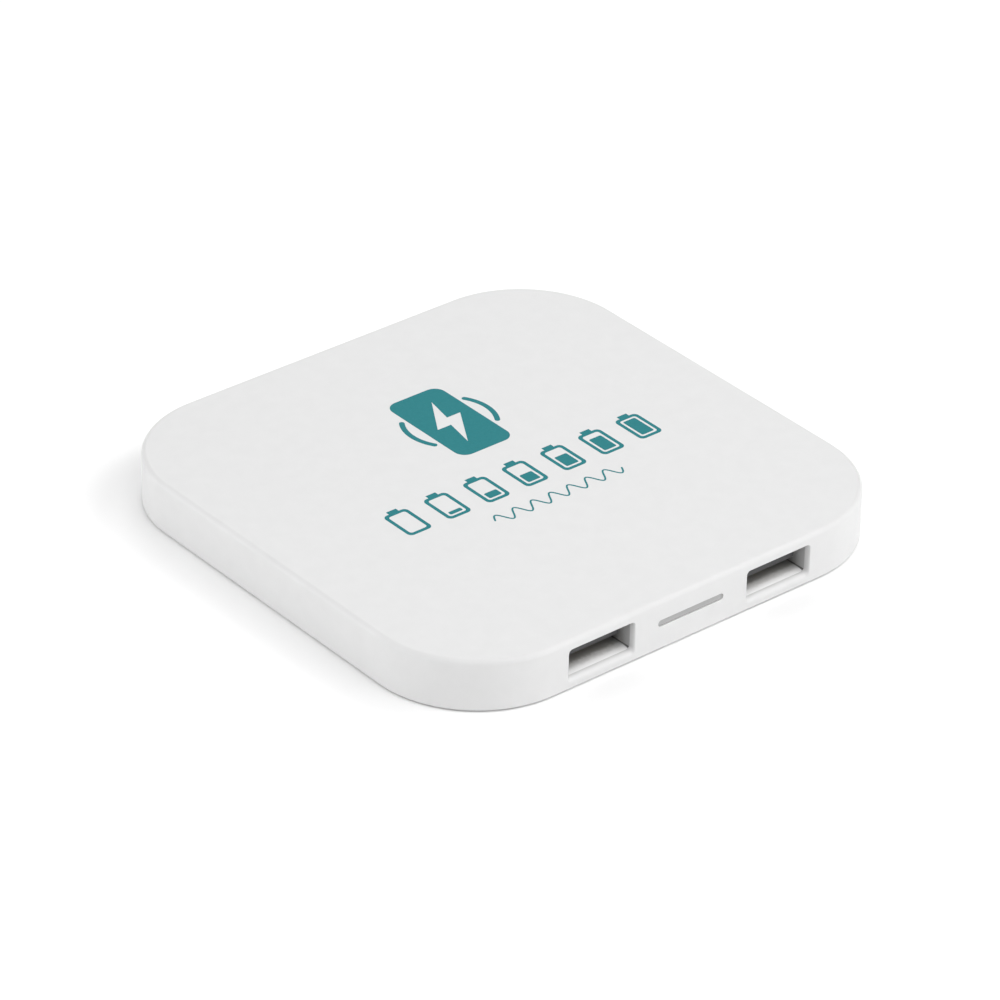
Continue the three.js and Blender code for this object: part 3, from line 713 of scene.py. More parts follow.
def threaded(bm, x, y, core, crest, z0, z1, pitch, head, tip, seg=28, per=8):
    """A screw standing along Z: a turned head, then a shank whose thread winds round it."""
    rows = []
    for r, z in head:
        rows.append([(r, z)] * seg if r > 0 else [(0, z)])
    steps = max(2, int(abs(z1 - z0) / pitch * per))
    for k in range(steps + 1):
        f = k / steps
        z = z0 + (z1 - z0) * f
        row = []
        for i in range(seg):
            phase = (abs(z - z0) / pitch + i / seg) % 1.0
            ridge = max(0.0, 1 - abs(phase - 0.5) * 4.5)
            fade = min(1.0, f * 6, (1 - f) * 5)
            row.append((core + (crest - core) * ridge * fade, z))
        rows.append(row)
    for r, z in tip:
        rows.append([(r, z)] * seg if r > 0 else [(0, z)])
    verts = []
    for row in rows:
        if len(row) == 1:
            verts.append([bm.verts.new(V(x, y, row[0][1]))])
        else:
            verts.append([bm.verts.new(V(x + r * math.cos(2 * math.pi * i / seg), y + r * math.sin(2 * math.pi * i / seg), z))
                          for i, (r, z) in enumerate(row)])
    for a, b in zip(verts, verts[1:]):
        for i in range(seg):
            j = (i + 1) % seg
            if len(a) == 1:
                bm.faces.new((a[0], b[j], b[i]))
            elif len(b) == 1:
                bm.faces.new((a[i], a[j], b[0]))
            else:
                bm.faces.new((a[i], a[j], b[j], b[i]))


def cross_cutter(x, y, z_open, z_end, size, width):
    """A tapered cross recess: wide at z_open, narrow at z_end."""
    pts = [(size, width), (width, width), (width, size), (-width, size), (-width, width), (-size, width),
           (-size, -width), (-width, -width), (-width, -size), (width, -size), (width, -width), (size, -width)]
    def ring(k, z):
        return in_z([(x + a * k, y + b * k) for a, b in pts], z)
    z_out = z_open + (z_open - z_end) * 0.5
    return loft_object([ring(1.0, z_out), ring(1.0, z_open), ring(0.55, z_end)])


for where, sx, sy in CORNERS:
    x, y = sx * FOOT_AT, sy * FOOT_AT
    bm = bmesh.new()
    threaded(bm, x, y, 0.75, 1.0, 2.1, 6.2, 0.7,
             [(0, 1.05), (1.6, 1.05), (1.82, 1.12), (1.9, 1.25), (1.9, 1.9), (1.8, 2.0), (0.85, 2.0)], [(0.4, 6.5), (0, 6.6)])
    ob = make(f"case_screw_turned_{where}", bm, [ZINC])
    boolean(ob, cross_cutter(x, y, 1.05, 1.75, 1.1, 0.22))
    done(ob, "zinc_screw", f"case_screw_{where}")

for side, x, y in (("left", -25.5, 33.0), ("right", 25.5, -22.0)):
    bm = bmesh.new()
    head = [(0, 4.4), (0.9, 4.36), (1.45, 4.2), (1.8, 3.95), (1.9, 3.7), (1.9, 3.3), (1.82, BOARD_Z1), (0.8, BOARD_Z1)]
    threaded(bm, x, y, 0.68, 0.85, 3.1, 1.6, 0.5, head, [(0.4, 1.2), (0, 1.1)])
    ob = make(f"board_screw_turned_{side}", bm, [ZINC])
    boolean(ob, cross_cutter(x, y, 4.4, 3.75, 1.0, 0.2))
    done(ob, "zinc_screw", f"board_screw_{side}")

# ---------------------------------------------------------------- main board


def build_board():
    ob = loft_object([in_z(rounded(57.9, 84.9, 1.45, 6), BOARD_Z0), in_z(rounded(58, 85, 1.5, 6), BOARD_Z0 + 0.05),
                      in_z(rounded(58, 85, 1.5, 6), BOARD_Z1 - 0.05), in_z(rounded(57.9, 84.9, 1.45, 6), BOARD_Z1)], [BOARD], "main_board_laminate")
    for side in (-1, 1):
        x = side * PORT_X
        boolean(ob, loft_object([in_z(rounded(13.7, 30, 0.5, 5, x, -44.85), z) for z in (0, 6)]))
    for x in (-25.5, 25.5):
        for y in (-22.0, 33.0):
            boolean(ob, loft_object([in_z(circle(1.2, 32, x, y), z) for z in (0, 6)]))
    # tinned lands for the coil ends and the socket feet: a film on the mask
    me = ob.data
    me.materials.append(TIN)
    bm = bmesh.new()
    bm.from_mesh(me)
    t = 0.025
    pads = [(4.0, 31.0, 2.6, 3.6), (-2.6, 30.6, 3.0, 3.2)]
    for side in (-1, 1):
        for dx in (-3.5, -1.0, 1.0, 3.5):
            pads.append((side * PORT_X + dx, -28.7, 1.3, 2.0))
        for s in (-1, 1):
            for y in (-41.0, -33.0):
                pads.append((side * PORT_X + s * 7.75, y, 1.7, 3.0))
    for x, y, w, h in pads:
        rows = [in_z(rounded(w, h, 0.25, 3, x, y), BOARD_Z1 - 0.02), in_z(rounded(w, h, 0.25, 3, x, y), BOARD_Z1 + t)]
        add_loft(bm, rows, mat=1)
    # solder on the coil's two ends
    for x, y in ((4.0, 31.2), (-2.9, 30.2)):
        profile = [(0, BOARD_Z1 + 0.01), (1.15, BOARD_Z1 + 0.01), (1.12, 3.5), (1.0, 3.85), (0.72, 4.12), (0.35, 4.25), (0, 4.28)]
        add_turned(bm, profile, x, y, 20, mat=1)
    bm.to_mesh(me)
    bm.free()
    return done(ob, "circuit_board", "main_board")


build_board()

# ---------------------------------------------------------------- USB-A sockets


def strip_rings(points, thick, fillet=0.22, steps=5):
    """A bent strip in the YZ plane: the given centreline, its corners rounded, as one closed outline."""
    pts = [Vector((p[0], p[1])) for p in points]
    line = [pts[0]]
    for a, b, c in zip(pts, pts[1:], pts[2:]):
        u, w = (a - b), (c - b)
        k = min(fillet, u.length * 0.45, w.length * 0.45)
        p, q = b + u.normalized() * k, b + w.normalized() * k
        for i in range(steps + 1):
            f = i / steps
            line.append(p.lerp(b, f).lerp(b.lerp(q, f), f))
    line.append(pts[-1])
    left, right_side = [], []
    for i, p in enumerate(line):
        d = (line[min(i + 1, len(line) - 1)] - line[max(i - 1, 0)]).normalized()
        n = Vector((-d.y, d.x)) * (thick / 2)
        left.append(tuple(p + n))
        right_side.append(tuple(p - n))
    return left + right_side[::-1]


def add_strip(bm, points, thick, x0, x1, edge=0.04, fillet=0.22):
    full = strip_rings(points, thick, fillet)
    slim = strip_rings(points, thick - 2 * edge, fillet)
    add_loft(bm, [in_x(slim, x0), in_x(full, x0 + edge), in_x(full, x1 - edge), in_x(slim, x1)])


def build_socket(name, side):
    x = side * PORT_X
    seg = 8
    outer = lambda g: rounded(13.1 + 2 * g, 5.72 + 2 * g, 0.6 + g, seg, x, PORT_Z)
    inner = lambda lip: rounded(PORT_W, 5.1 - lip, 0.3, seg, x, PORT_Z + lip / 2)
    ob = loft_object([in_y(outer(-0.06), -43.99), in_y(outer(-0.02), -43.97), in_y(outer(0), -43.92), in_y(outer(0), -30.05), in_y(outer(-0.05), -30.0)],
                     [STEEL], f"usb_shell_formed_{name}")
    # the lower lip is flared a little, to lead the plug in
    boolean(ob, loft_object([in_y(inner(0.0), -45), in_y(inner(0.0), -44.0), in_y(inner(0.05), -43.8), in_y(inner(0.1), -43.55), in_y(inner(0.14), -43.25),
                             in_y(inner(0.17), -42.9), in_y(inner(0.18), -42.5), in_y(inner(0.18), -25)]))
    # spring tongues cut into the upper and lower sheets
    for z0, z1 in ((PORT_Z + 2.4, PORT_Z + 3.2), (PORT_Z - 3.2, PORT_Z - 2.4)):
        for dx in (-3.2, 3.2):
            a, b = x + dx - 1.3, x + dx + 1.3
            u = [(a, -38.6), (b, -38.6), (b, -33.4), (b - 0.35, -33.4), (b - 0.35, -38.25), (a + 0.35, -38.25), (a + 0.35, -33.4), (a, -33.4)]
            boolean(ob, loft_object([in_z(u, z0), in_z(u, z1)]))
    bm = bmesh.new()
    for s in (-1, 1):
        edge = x + s * 6.55
        for y in (-41.0, -33.0):
            lo, hi = min(edge - s * 0.12, edge + s * 1.9), max(edge - s * 0.12, edge + s * 1.9)
            add_box(bm, lo, hi, y - 1.2, y + 1.2, BOARD_Z1 + 0.01, BOARD_Z1 + 0.3, 0.06, 2)
    boolean(ob, make("wings", bm, [STEEL]), "UNION")
    done(ob, "socket_steel", f"usb_shell_{name}")

    # insulator: rear block and tongue in one moulding, with a groove for each contact
    w = 12.3
    ob = loft_object([in_y(rounded(w - 0.1, 4.92, 0.4, 5, x, PORT_Z), -36.0), in_y(rounded(w, 5.02, 0.45, 5, x, PORT_Z), -35.95),
                      in_y(rounded(w, 5.02, 0.45, 5, x, PORT_Z), -30.0)], [INSULATOR], f"usb_tongue_moulded_{name}")
    # the nose is blunt below and tapers above; the right-hand one sits a hair lower
    drop = 0.0 if side < 0 else 0.16
    full = (11.1, 0.0, 1.84, 0.16)
    if side < 0:
        tip = [(10.86, 0.06, 1.0, 0.12, -42.5), (10.98, 0.02, 1.1, 0.14, -42.46), (11.06, 0.0, 1.2, 0.16, -42.38), (*full, -41.9), (*full, -35.5)]
    else:
        tip = [(10.86, 0.06, 0.8, 0.1, -42.5), (10.98, 0.02, 0.86, 0.12, -42.47), (11.06, 0.0, 0.9, 0.12, -42.4), (11.1, 0.0, 0.96, 0.14, -42.2),
               (11.1, 0.0, 1.2, 0.16, -41.9), (*full, -41.2), (*full, -35.5)]
    rings = [in_y(rounded(a, hi - lo, r, 4, x, TONGUE_Z - drop * min(1.0, max(0.0, (-41.0 - y) / 0.9)) + (lo + hi) / 2), y) for a, lo, hi, r, y in tip]
    boolean(ob, loft_object(rings, [INSULATOR]), "UNION")
    for dx in (-3.5, -1.0, 1.0, 3.5):
        boolean(ob, box_object(x + dx - 0.7, x + dx + 0.7, -41.75, -20, TONGUE_Z - 0.6, TONGUE_Z + 0.35, bevel=0.05, seg=2))
    done(ob, "insulator_grey", f"usb_tongue_{name}")

    zc = TONGUE_Z - 0.075
    for i, dx in enumerate((-3.5, -1.0, 1.0, 3.5)):
        bm = bmesh.new()
        add_strip(bm, [(-41.5, zc + 0.03), (-40.9, zc - 0.35), (-40.2, zc - 0.35), (-38.9, zc), (-29.68, zc), (-29.68, BOARD_Z1 + 0.14),
                       (-28.2, BOARD_Z1 + 0.14)], 0.25, x + dx - 0.5, x + dx + 0.5)
        done(make(f"usb_contact_formed_{name}_{i + 1}", bm, [GOLD]), "contact_gold", f"usb_contact_{name}_{i + 1}")


build_socket("left", -1)
build_socket("right", 1)

# ---------------------------------------------------------------- power inlet


def build_inlet():
    z0, z1 = BOARD_Z1 + 0.01, BOARD_Z1 + 2.65

    def outline(g, zlo=z0, zhi=z1):
        """The inlet's section: square shoulders above, drawn in below, with small bends at its corners."""
        raw = [(-2.85 + g, zlo + g), (2.85 - g, zlo + g), (3.75 - g, zlo + 1.15 + g * 0.4), (3.75 - g, zhi - g), (-3.75 + g, zhi - g), (-3.75 + g, zlo + 1.15 + g * 0.4)]
        pts = []
        n = len(raw)
        for i in range(n):
            a, b, c = Vector(raw[i - 1]), Vector(raw[i]), Vector(raw[(i + 1) % n])
            k = 0.4 if g < 0.2 else 0.2
            p, q = b + (a - b).normalized() * k, b + (c - b).normalized() * k
            for j in range(6):
                f = j / 5
                v = p.lerp(b, f).lerp(b.lerp(q, f), f)
                pts.append((v.x, v.y))
        return pts

    ob = loft_object([in_y(outline(0.04), 38.4), in_y(outline(0), 38.45), in_y(outline(0), 43.84), in_y(outline(0.06), 43.9)], [PLATED], "inlet_shell_formed")
    boolean(ob, loft_object([in_y(outline(0.25), 30), in_y(outline(0.25), 43.75), in_y(outline(0.2), 43.85), in_y(outline(0.12), 43.95), in_y(outline(0.12), 46)]))
    bm = bmesh.new()
    for s in (-1, 1):
        add_box(bm, min(s * 2.4, s * 4.9), max(s * 2.4, s * 4.9), 39.2, 41.2, z0, z0 + 0.2, 0.05, 2)
    boolean(ob, make("wings", bm, [PLATED]), "UNION")
    done(ob, "socket_steel", "inlet_shell")

    ob = loft_object([in_y(outline(0.36), 38.4), in_y(outline(0.36), 39.55), in_y(outline(0.42), 39.6)], [DARK_PLASTIC], "inlet_tongue_moulded")
    zt = BOARD_Z1 + 1.65
    rings = [in_y(rounded(3.8, 0.6, 0.1, 3, 0, zt), 39.5), in_y(rounded(3.8, 0.6, 0.1, 3, 0, zt), 42.6), in_y(rounded(3.6, 0.44, 0.1, 3, 0, zt), 42.84),
             in_y(rounded(3.3, 0.3, 0.08, 3, 0, zt), 42.9)]
    boolean(ob, loft_object(rings, [DARK_PLASTIC]), "UNION")
    for i in range(-2, 3):
        boolean(ob, box_object(i * 0.65 - 0.22, i * 0.65 + 0.22, 37, 42.5, BOARD_Z1 + 1.0, BOARD_Z1 + 1.5))
    done(ob, "chip_black", "inlet_tongue")
    for i in range(-2, 3):
        zc = BOARD_Z1 + 1.325
        bm = bmesh.new()
        add_strip(bm, [(42.2, zc), (38.03, zc), (38.03, BOARD_Z1 + 0.08), (37.0, BOARD_Z1 + 0.08)], 0.15, i * 0.65 - 0.15, i * 0.65 + 0.15, 0.025, 0.15)
        done(make(f"inlet_contact_formed_{i + 3}", bm, [GOLD]), "contact_gold", f"inlet_contact_{i + 3}")


build_inlet()

# ---------------------------------------------------------------- status light


def build_light():
    h = SLOT_H - 0.1
    bar = lambda g: rounded(SLOT_W - 0.1 - 2 * g, h - 2 * g, h / 2 - g - 1e-4, 12, 0, SLOT_Z)
    rings = [in_y(bar(0.12), -44.85), in_y(bar(0.05), -44.83), in_y(bar(0.015), -44.79), in_y(bar(0), -44.73), in_y(bar(0), -42.6)]
    ob = loft_object(rings, [FROSTED], "light_pipe_moulded")
    fl = lambda g: rounded(16 - 2 * g, 2.6 - 2 * g, 0.5 - g, 6, 0, SLOT_Z - 0.1)
    boolean(ob, loft_object([in_y(fl(0.08), -42.8), in_y(fl(0), -42.72), in_y(fl(0), -41.68), in_y(fl(0.08), -41.6)], [FROSTED]), "UNION")
    done(ob, "frosted_light", "light_pipe")
    for name, x in (("left", -3.6), ("right", 3.6)):
        bm = bmesh.new()
        z = BOARD_Z1
        add_box(bm, x - 1.6, x + 1.6, -41.0, -39.6, z + 0.02, z + 1.5, 0.08, 2, 0)
        add_box(bm, x - 1.2, x + 1.2, -41.25, -40.95, z + 0.25, z + 1.3, 0.1, 3, 1)
        for s in (-1, 1):
            add_box(bm, x + s * 1.62 - 0.17, x + s * 1.62 + 0.17, -40.6, -39.9, z, z + 0.45, 0.04, 2, 2)
        done(make(f"led_package_{name}", bm, [LAMP_CASE, LAMP, TIN]), "lamp_white", f"led_{name}")


build_light()

# ---------------------------------------------------------------- charging coil


def catmull(points, per):
    pts = [Vector(p) for p in points]
    out = []
    for i in range(len(pts) - 1):
        p0, p1, p2, p3 = pts[max(i - 1, 0)], pts[i], pts[i + 1], pts[min(i + 2, len(pts) - 1)]
        for k in range(per):
            t = k / per
            t2, t3 = t * t, t * t * t
            out.append(0.5 * ((2 * p1) + (p2 - p0) * t + (2 * p0 - 5 * p1 + 4 * p2 - p3) * t2 + (3 * p1 - p0 - 3 * p2 + p3) * t3))
    out.append(pts[-1])
    return out


def build_coil():
    lead_x, lead_z, coil_z = 4.0, 5.65, 6.75
    path = catmull([(lead_x, 32.5, 3.75), (lead_x, 30.2, 3.75), (lead_x, 28.6, 4.6), (lead_x, 27.0, 5.5), (lead_x, 25.0, lead_z), (lead_x, 19.0, lead_z),
                    (lead_x, 12.5, lead_z), (lead_x, 9.3, 5.8), (lead_x, 6.2, 6.6), (lead_x, 4.2, coil_z), (4.6, 1.6, coil_z), (6.2, -1.0, coil_z),
                    (7.9, -3.6, coil_z), (8.1, -6.2, coil_z), (7.0, -8.1, coil_z)], 5)
    steps, per = 170, 18
    fine = 3
    for k in range(1, steps * fine + 1):
        i = k / fine
        a = math.radians(-60) - i * 2 * math.pi / per
        r = 10.8 + 1.13 * i / per
        path.append(Vector((r * math.cos(a), r * math.sin(a), coil_z)))
    along = Vector((math.sin(a), -math.cos(a), 0))
    end = path[-1].copy()
    tail = [end]
    for s, z in ((6, coil_z), (13.5, coil_z), (15.0, 6.5), (16.5, 5.6), (18.0, 4.6), (19.4, 3.9), (20.8, 3.75), (22.8, 3.75)):
        p = end + along * s
        tail.append(Vector((p.x, p.y, z)))
    path += catmull(tail, 3)[1:]
    sides, radius = 12, 0.49
    bm = bmesh.new()
    uv = bm.loops.layers.uv.new("along")
    rows, dist, length = [], [0.0], 0.0
    for i, p in enumerate(path):
        d = (path[min(i + 1, len(path) - 1)] - path[max(i - 1, 0)]).normalized()
        side = d.cross(Vector((0, 0, 1))).normalized()
        over = side.cross(d).normalized()
        rows.append([bm.verts.new(V(*(p + (side * math.cos(2 * math.pi * k / sides) + over * math.sin(2 * math.pi * k / sides)) * radius))) for k in range(sides)])
        if i:
            length += (p - path[i - 1]).length
            dist.append(length)
    for i in range(len(rows) - 1):
        for k in range(sides):
            j = (k + 1) % sides
            f = bm.faces.new((rows[i][k], rows[i][j], rows[i + 1][j], rows[i + 1][k]))
            f.smooth = True
            around = 2 * math.pi * radius
            vals = [(dist[i], around * k / sides), (dist[i], around * (k + 1) / sides), (dist[i + 1], around * (k + 1) / sides), (dist[i + 1], around * k / sides)]
            for loop, (a, b) in zip(f.loops, vals):
                loop[uv].uv = (a, b)
    bm.faces.new(rows[0])
    bm.faces.new(list(reversed(rows[-1])))
    ob = make("charging_coil_wound", bm, [LITZ])
    done(ob, "coil_copper", "charging_coil", angle=50, weighted=False)

    ob_rings = [in_z(circle(24.9, 96), 5.25), in_z(circle(25.0, 96), 5.32), in_z(circle(25.0, 96), 6.17), in_z(circle(24.92, 96), 6.25)]
    ob = loft_object(ob_rings, [FERRITE], "ferrite_disc")
    boolean(ob, loft_object([in_z([(lead_x - 0.95, 30), (lead_x - 0.95, 2.4)] + [(lead_x + 0.95 * math.cos(math.pi + math.pi * i / 10), 2.45 + 0.95 * math.sin(math.pi + math.pi * i / 10)) for i in range(1, 10)]
                                   + [(lead_x + 0.95, 2.4), (lead_x + 0.95, 30)], z) for z in (4, 8)]))
    done(ob, "ferrite_grey", "ferrite_sheet")

    ob = loft_object([in_z(circle(21.6, 96), 7.25), in_z(circle(21.6, 96), 7.5)], [TAPE], "coil_tape_ring")
    boolean(ob, loft_object([in_z(circle(10.6, 72), 7.0), in_z(circle(10.6, 72), 8.0)]))
    done(ob, "tape_white", "coil_tape")


build_coil()

# ---------------------------------------------------------------- parts on the board


def gull_package(name, x, y, w, d, h, legs, pitch, leg_length, slot, node):
    z = BOARD_Z1
    bm = bmesh.new()
    waist = z + h * 0.52
    rows = [in_z(rounded(w - 0.28, d - 0.28, 0.12, 3, x, y), z + 0.15), in_z(rounded(w, d, 0.12, 3, x, y), waist - 0.04),
            in_z(rounded(w, d, 0.12, 3, x, y), waist + 0.04), in_z(rounded(w - 0.24, d - 0.24, 0.12, 3, x, y), z + h - 0.05),
            in_z(rounded(w - 0.34, d - 0.34, 0.1, 3, x, y), z + h)]
    add_loft(bm, rows, mat=0)
    ob = make(name, bm, [CHIP, TIN])
    bm = bmesh.new()
    add_turned(bm, [(0, z + h - 0.08), (0.22, z + h - 0.08), (0.3, z + h + 0.05), (0, z + h + 0.05)], x - w / 2 + 0.75, y - d / 2 + 0.75, 16)
    boolean(ob, make("mark", bm, ()))
    bm = bmesh.new()
    bm.from_mesh(ob.data)
    for i in range(legs):
        lx = x + (i - (legs - 1) / 2) * pitch
        for s in (-1, 1):
            a = y + s * (d / 2 - 0.08)
            add = strip_rings([(a, waist), (y + s * (d / 2 + 0.32), waist), (y + s * (d / 2 + 0.5), z + 0.085), (y + s * (d / 2 + leg_length), z + 0.085)], 0.15, 0.12, 4)
            first = len(bm.faces)
            add_loft(bm, [in_x(add, lx - 0.18), in_x(add, lx + 0.18)], mat=1)
    bmesh.ops.recalc_face_normals(bm, faces=bm.faces)
    bm.to_mesh(ob.data)
    bm.free()
    done(ob, slot, node)


def chip_part(name, x, y, length, w, h, end, body, slot, node):
    z = BOARD_Z1
    bm = bmesh.new()
    add_box(bm, x - length / 2 + end - 0.05, x + length / 2 - end + 0.05, y - w / 2 + 0.04, y + w / 2 - 0.04, z + 0.04, z + h - 0.04, 0.05, 2, 0)
    add_box(bm, x - length / 2, x - length / 2 + end, y - w / 2, y + w / 2, z, z + h, 0.12, 3, 1)
    add_box(bm, x + length / 2 - end, x + length / 2, y - w / 2, y + w / 2, z, z + h, 0.12, 3, 1)
    done(make(name, bm, [body, TIN]), slot, node)


def build_components():
    z = BOARD_Z1
    x, y, half = -6.0, -2.0, 2.5
    bm = bmesh.new()
    add_box(bm, x - half, x + half, y - half, y + half, z + 0.05, z + 0.85, 0.06, 2, 0)
    ob = make("controller_package", bm, [CHIP, TIN])
    bm = bmesh.new()
    add_turned(bm, [(0, z + 0.77), (0.24, z + 0.77), (0.3, z + 1), (0, z + 1)], x - 1.8, y - 1.8, 16)
    boolean(ob, make("mark", bm, ()))
    bm = bmesh.new()
    bm.from_mesh(ob.data)
    for i in range(6):
        o = (i - 2.5) * 0.75
        for s in (-1, 1):
            add_box(bm, x + o - 0.15, x + o + 0.15, y + s * half - 0.3 + (0.25 if s < 0 else 0.05) , y + s * half + (0.3 if s < 0 else 0.05), z, z + 0.25, 0.03, 1, 1)
            add_box(bm, x + s * half - 0.3 + (0.25 if s < 0 else 0.05), x + s * half + (0.3 if s < 0 else 0.05), y + o - 0.15, y + o + 0.15, z, z + 0.25, 0.03, 1, 1)
    bm.to_mesh(ob.data)
    bm.free()
    done(ob, "chip_black", "controller_chip")

    gull_package("driver_package", 5, 2, 4.9, 3.9, 1.5, 4, 1.27, 1.05, "chip_black", "driver_chip")
    gull_package("port_package", 0, -24, 2.9, 1.6, 1.1, 3, 0.95, 0.7, "chip_black", "port_chip")
    for i, (x, y) in enumerate(((10, 12), (14, 12), (10, 15), (14, 15))):
        chip_part(f"resonant_cap_fired_{i + 1}", x, y, 3.2, 1.6, 1.5, 0.5, CAP, "ceramic_tan", f"resonant_cap_{i + 1}")
    chip_part("input_cap_fired", -9, 30, 4.5, 3.2, 1.8, 0.6, CAP, "ceramic_tan", "input_cap")
    chip_part("sense_resistor_fired", -12, 12, 6.3, 3.2, 0.6, 0.8, CHIP, "chip_black", "sense_resistor")

    bm = bmesh.new()
    cx, cy = 13.0, 34.0
    for za, zb in ((z, z + 0.5), (z + 1.8, z + 2.3)):
        add_loft(bm, [in_z(rounded(5.84, 5.84, 1.12, 6, cx, cy), za), in_z(rounded(6, 6, 1.2, 6, cx, cy), za + 0.08),
                      in_z(rounded(6, 6, 1.2, 6, cx, cy), zb - 0.08), in_z(rounded(5.84, 5.84, 1.12, 6, cx, cy), zb)], mat=0)
    profile = [(0, z + 0.5), (2.3, z + 0.5)]
    for k in range(5):
        for j in range(7):
            a = math.pi * j / 6
            profile.append((2.42 + 0.13 * math.sin(a), z + 0.56 + 0.236 * k + 0.118 * (1 - math.cos(a))))
    profile += [(2.3, z + 1.8), (0, z + 1.8)]
    add_turned(bm, profile, cx, cy, 40, mat=1)
    done(make("power_inductor_wound", bm, [CHOKE, LITZ_PLAIN]), "ferrite_grey", "power_inductor")


LITZ_PLAIN = metal("winding_copper", (0.66, 0.27, 0.11), rough=(0.25, 0.4), brush=(1, 1, 10))
build_components()

# ---------------------------------------------------------------- generic print on the charging face


def ink_solid(bm, outline, holes=()):
    """A film of ink 0.02 mm thick in the shape of an outline, with any holes."""
    z0, z1 = Z_TOP - 0.004, Z_FULL

    def ring(points, z):
        return [bm.verts.new(V(a, b, z)) for a, b in points]

    loops = [outline, *holes]
    top_edges = []
    bottoms = []
    for pts in loops:
        lo, hi = ring(pts, z0), ring(pts, z1)
        n = len(pts)
        for i in range(n):
            j = (i + 1) % n
            bm.faces.new((lo[i], lo[j], hi[j], hi[i]))
        top_edges.append([bm.edges.get((hi[i], hi[(i + 1) % n])) for i in range(n)])
        bottoms.append([bm.edges.get((lo[i], lo[(i + 1) % n])) for i in range(n)])
    for group in (top_edges, bottoms):
        bmesh.ops.triangle_fill(bm, edges=[e for g in group for e in g], use_beauty=True, use_dissolve=False)


def arc_band(cx, cy, r0, r1, a0, a1, seg=20):
    """A band between two radii, round at both ends."""
    a0, a1 = math.radians(a0), math.radians(a1)
    pts = [(cx + r1 * math.cos(a0 + (a1 - a0) * i / seg), cy + r1 * math.sin(a0 + (a1 - a0) * i / seg)) for i in range(seg + 1)]
    mid, h = (r0 + r1) / 2, (r1 - r0) / 2
    for i in range(1, 8):
        t = math.pi * i / 8
        ex, ey = cx + mid * math.cos(a1), cy + mid * math.sin(a1)
        pts.append((ex + h * math.cos(a1 + t), ey + h * math.sin(a1 + t)))
    pts += [(cx + r0 * math.cos(a1 - (a1 - a0) * i / seg), cy + r0 * math.sin(a1 - (a1 - a0) * i / seg)) for i in range(seg + 1)]
    for i in range(1, 8):
        t = math.pi * i / 8
        ex, ey = cx + mid * math.cos(a0), cy + mid * math.sin(a0)
        pts.append((ex - h * math.cos(a0 + t), ey - h * math.sin(a0 + t)))
    return pts


def battery(bm, x, y, w, h, stroke, level):
    """A battery symbol, nub up, filled to a level from 0 to 1."""
    nub_w, nub_h, r = 1.9, 0.75, 0.85
    x0, x1, y0, y1 = x - w / 2, x + w / 2, y - h / 2, y + h / 2 - nub_h
    body = rounded(w, y1 - y0, r, 6, x, (y0 + y1) / 2)
    # the nub stands on the top edge: it is spliced in between the two upper corners
    corner = 7
    outline = body[:2 * corner] + [(x + nub_w / 2, y1), (x + nub_w / 2, y1 + nub_h), (x - nub_w / 2, y1 + nub_h), (x - nub_w / 2, y1)] + body[2 * corner:]
    inner = rounded(w - 2 * stroke, y1 - y0 - 2 * stroke, r - stroke * 0.6, 5, x, (y0 + y1) / 2)
    ink_solid(bm, outline, [inner])
    if level > 0:
        gap = stroke + 0.42
        full = (y1 - y0) - 2 * gap
        ink_solid(bm, rounded(w - 2 * gap, full * level, 0.25, 3, x, y0 + gap + full * level / 2))


def ink_ribbon(bm, line, width):
    """A line of ink along points, with round ends."""
    pts = [Vector(p) for p in line]
    sides = []
    for i, p in enumerate(pts):
        d = (pts[min(i + 1, len(pts) - 1)] - pts[max(i - 1, 0)]).normalized()
        n = Vector((-d.y, d.x)) * (width / 2)
        sides.append((p + n, p - n, d))
    cap_a, cap_b = [], []
    for i in range(1, 6):
        t = math.pi * i / 6
        n, d = (sides[-1][0] - pts[-1]), sides[-1][2]
        cap_b.append(pts[-1] + n * math.cos(t) + d * (width / 2) * math.sin(t))
        n, d = (sides[0][1] - pts[0]), sides[0][2]
        cap_a.append(pts[0] + n * math.cos(t) - d * (width / 2) * math.sin(t))
    z0, z1 = Z_TOP - 0.004, Z_FULL
    outline = [s[0] for s in sides] + cap_b + [s[1] for s in reversed(sides)] + cap_a
    lo = [bm.verts.new(V(p.x, p.y, z0)) for p in outline]
    hi = [bm.verts.new(V(p.x, p.y, z1)) for p in outline]
    n, k, c = len(outline), len(sides), len(cap_b)
    for i in range(n):
        j = (i + 1) % n
        bm.faces.new((lo[i], lo[j], hi[j], hi[i]))
    for row in (lo, hi):
        for i in range(k - 1):
            bm.faces.new((row[i], row[i + 1], row[2 * k + c - 2 - i], row[2 * k + c - 1 - i]))
        bm.faces.new([row[k - 1], *row[k:k + c], row[k + c]])
        bm.faces.new([row[2 * k + c - 1], *row[2 * k + c:], row[0]])


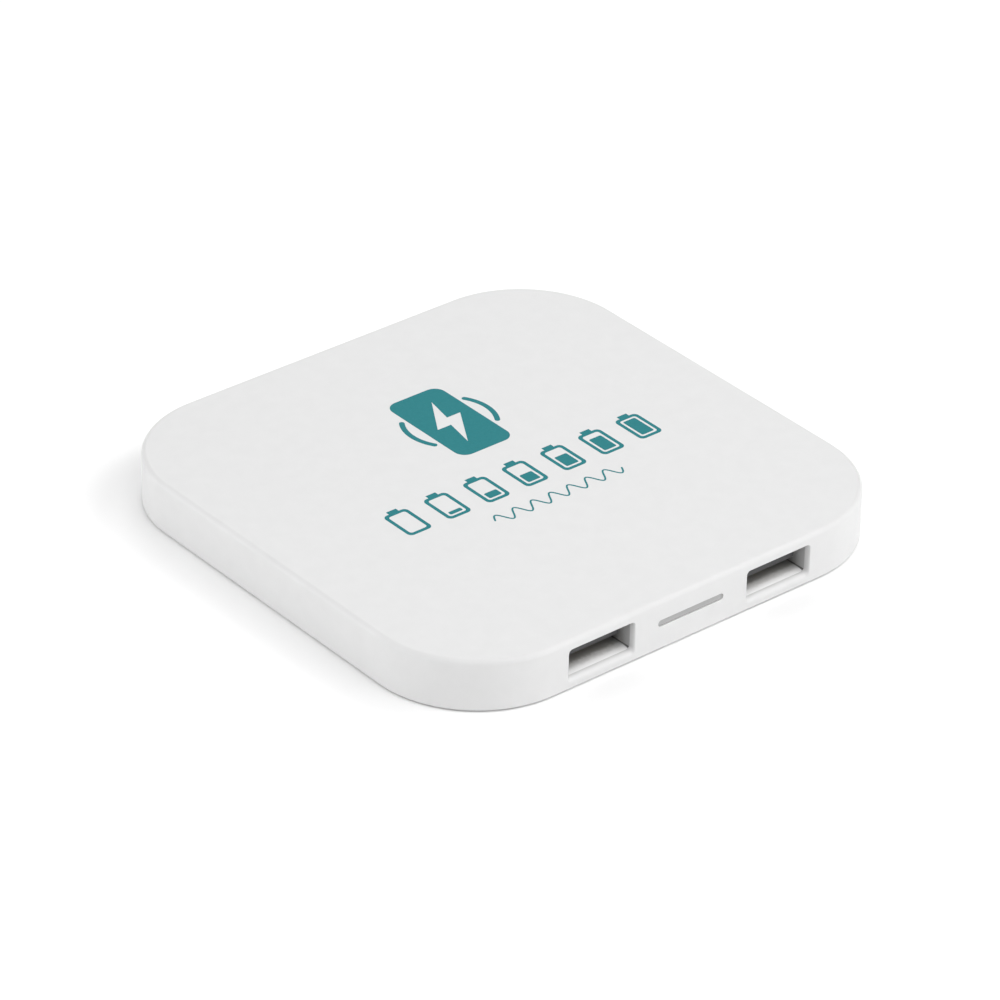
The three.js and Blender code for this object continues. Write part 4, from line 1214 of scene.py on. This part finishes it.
def build_print():
    bm = bmesh.new()
    cx, cy = 1.75, 14.75
    # a phone with a charging flash cut out of it, and a wave on either side
    phone = rounded(10.6, 19.5, 2.0, 10, cx, cy)
    flash = [(1.5, 6.4), (-3.1, -0.9), (-0.45, -0.9), (-1.5, -6.4), (3.1, 1.2), (0.45, 1.2)]
    ink_solid(bm, phone, [[(cx + a, cy + b) for a, b in flash]])
    for side in (0, 180):
        ink_solid(bm, arc_band(cx, cy, 7.1, 8.0, side - 33, side + 33))
    # a row of batteries that fill up from left to right
    x0, x1, count, w = -24.3, 26.5, 7, 4.5
    for k in range(count):
        battery(bm, x0 + w / 2 + k * (x1 - x0 - w) / (count - 1), -4.2, w, 7.6, 0.62, k / (count - 1))
    # a fine wave below it
    a, b, waves, per = -11.3, 14.05, 7, 24
    ink_ribbon(bm, [(a + (b - a) * i / (waves * per), -12.45 + 1.2 * math.sin(2 * math.pi * i / per)) for i in range(waves * per + 1)], 0.3)
    bmesh.ops.recalc_face_normals(bm, faces=bm.faces)
    done(make("charging_print", bm, [INK]), "teal_ink_film", angle=30, weighted=False)


build_print()

# ---------------------------------------------------------------- floor, light and finish


def floor_material():
    n = Nodes("pale_floor")
    n.color(n.ramp(n.noise(0.004, 2.0), [(0.3, (0.965, 0.965, 0.965)), (0.7, (0.972, 0.972, 0.972))]))
    n.rough(n.remap(n.noise(0.01, 2.0), 0.75, 0.85, 0.3, 0.7))
    n.set(Specular_IOR_Level=0.2)
    return n.m


bm = bmesh.new()
rows = [[bm.verts.new((x * 1.0, y * 1.0, 0)) for x in range(-4, 5)] for y in range(-4, 5)]
for a, b in zip(rows, rows[1:]):
    for i in range(8):
        bm.faces.new((a[i], a[i + 1], b[i + 1], b[i]))
floor = make("floor", bm, [floor_material()])

world = bpy.data.worlds.new("studio")
scene.world = world
world.use_nodes = True
wt = world.node_tree
bg = wt.nodes["Background"]
bg.inputs["Color"].default_value = (1, 1, 1, 1)
bg.inputs["Strength"].default_value = 0.35


def softbox(name, az, el, dist, size, power):
    """A square area light that faces the pad from a compass direction: azimuth 0 is in front of the sockets."""
    d = bpy.data.lights.new(name, "AREA")
    d.shape, d.size, d.energy = "SQUARE", size, power
    o = bpy.data.objects.new(name, d)
    scene.collection.objects.link(o)
    a, e = math.radians(az), math.radians(el)
    way = Vector((math.sin(a) * math.cos(e), -math.cos(a) * math.cos(e), math.sin(e)))
    o.location = way * dist
    o.rotation_euler = way.to_track_quat("Z", "Y").to_euler()
    return o


for where, az, el, power in (
    ("front_high_left", -20, 65, 1.33),
    ("front_high_right", 20, 65, 2.00),
    ("front", 20, 40, 2.10),
    ("front_low", 20, 12, 2.05),
    ("right", 60, 40, 4.76),
    ("left", -60, 40, 1.74),
    ("left_low", -90, 12, 0.86),
    ("rear_left", -130, 40, 1.78),
    ("rear_left_low", -130, 12, 4.50),
    ("rear_right", 140, 40, 2.27),
):
    softbox(where, az, el, 1.2, 0.6, power)

scene.view_settings.view_transform = "Standard"
scene.view_settings.look = "None"
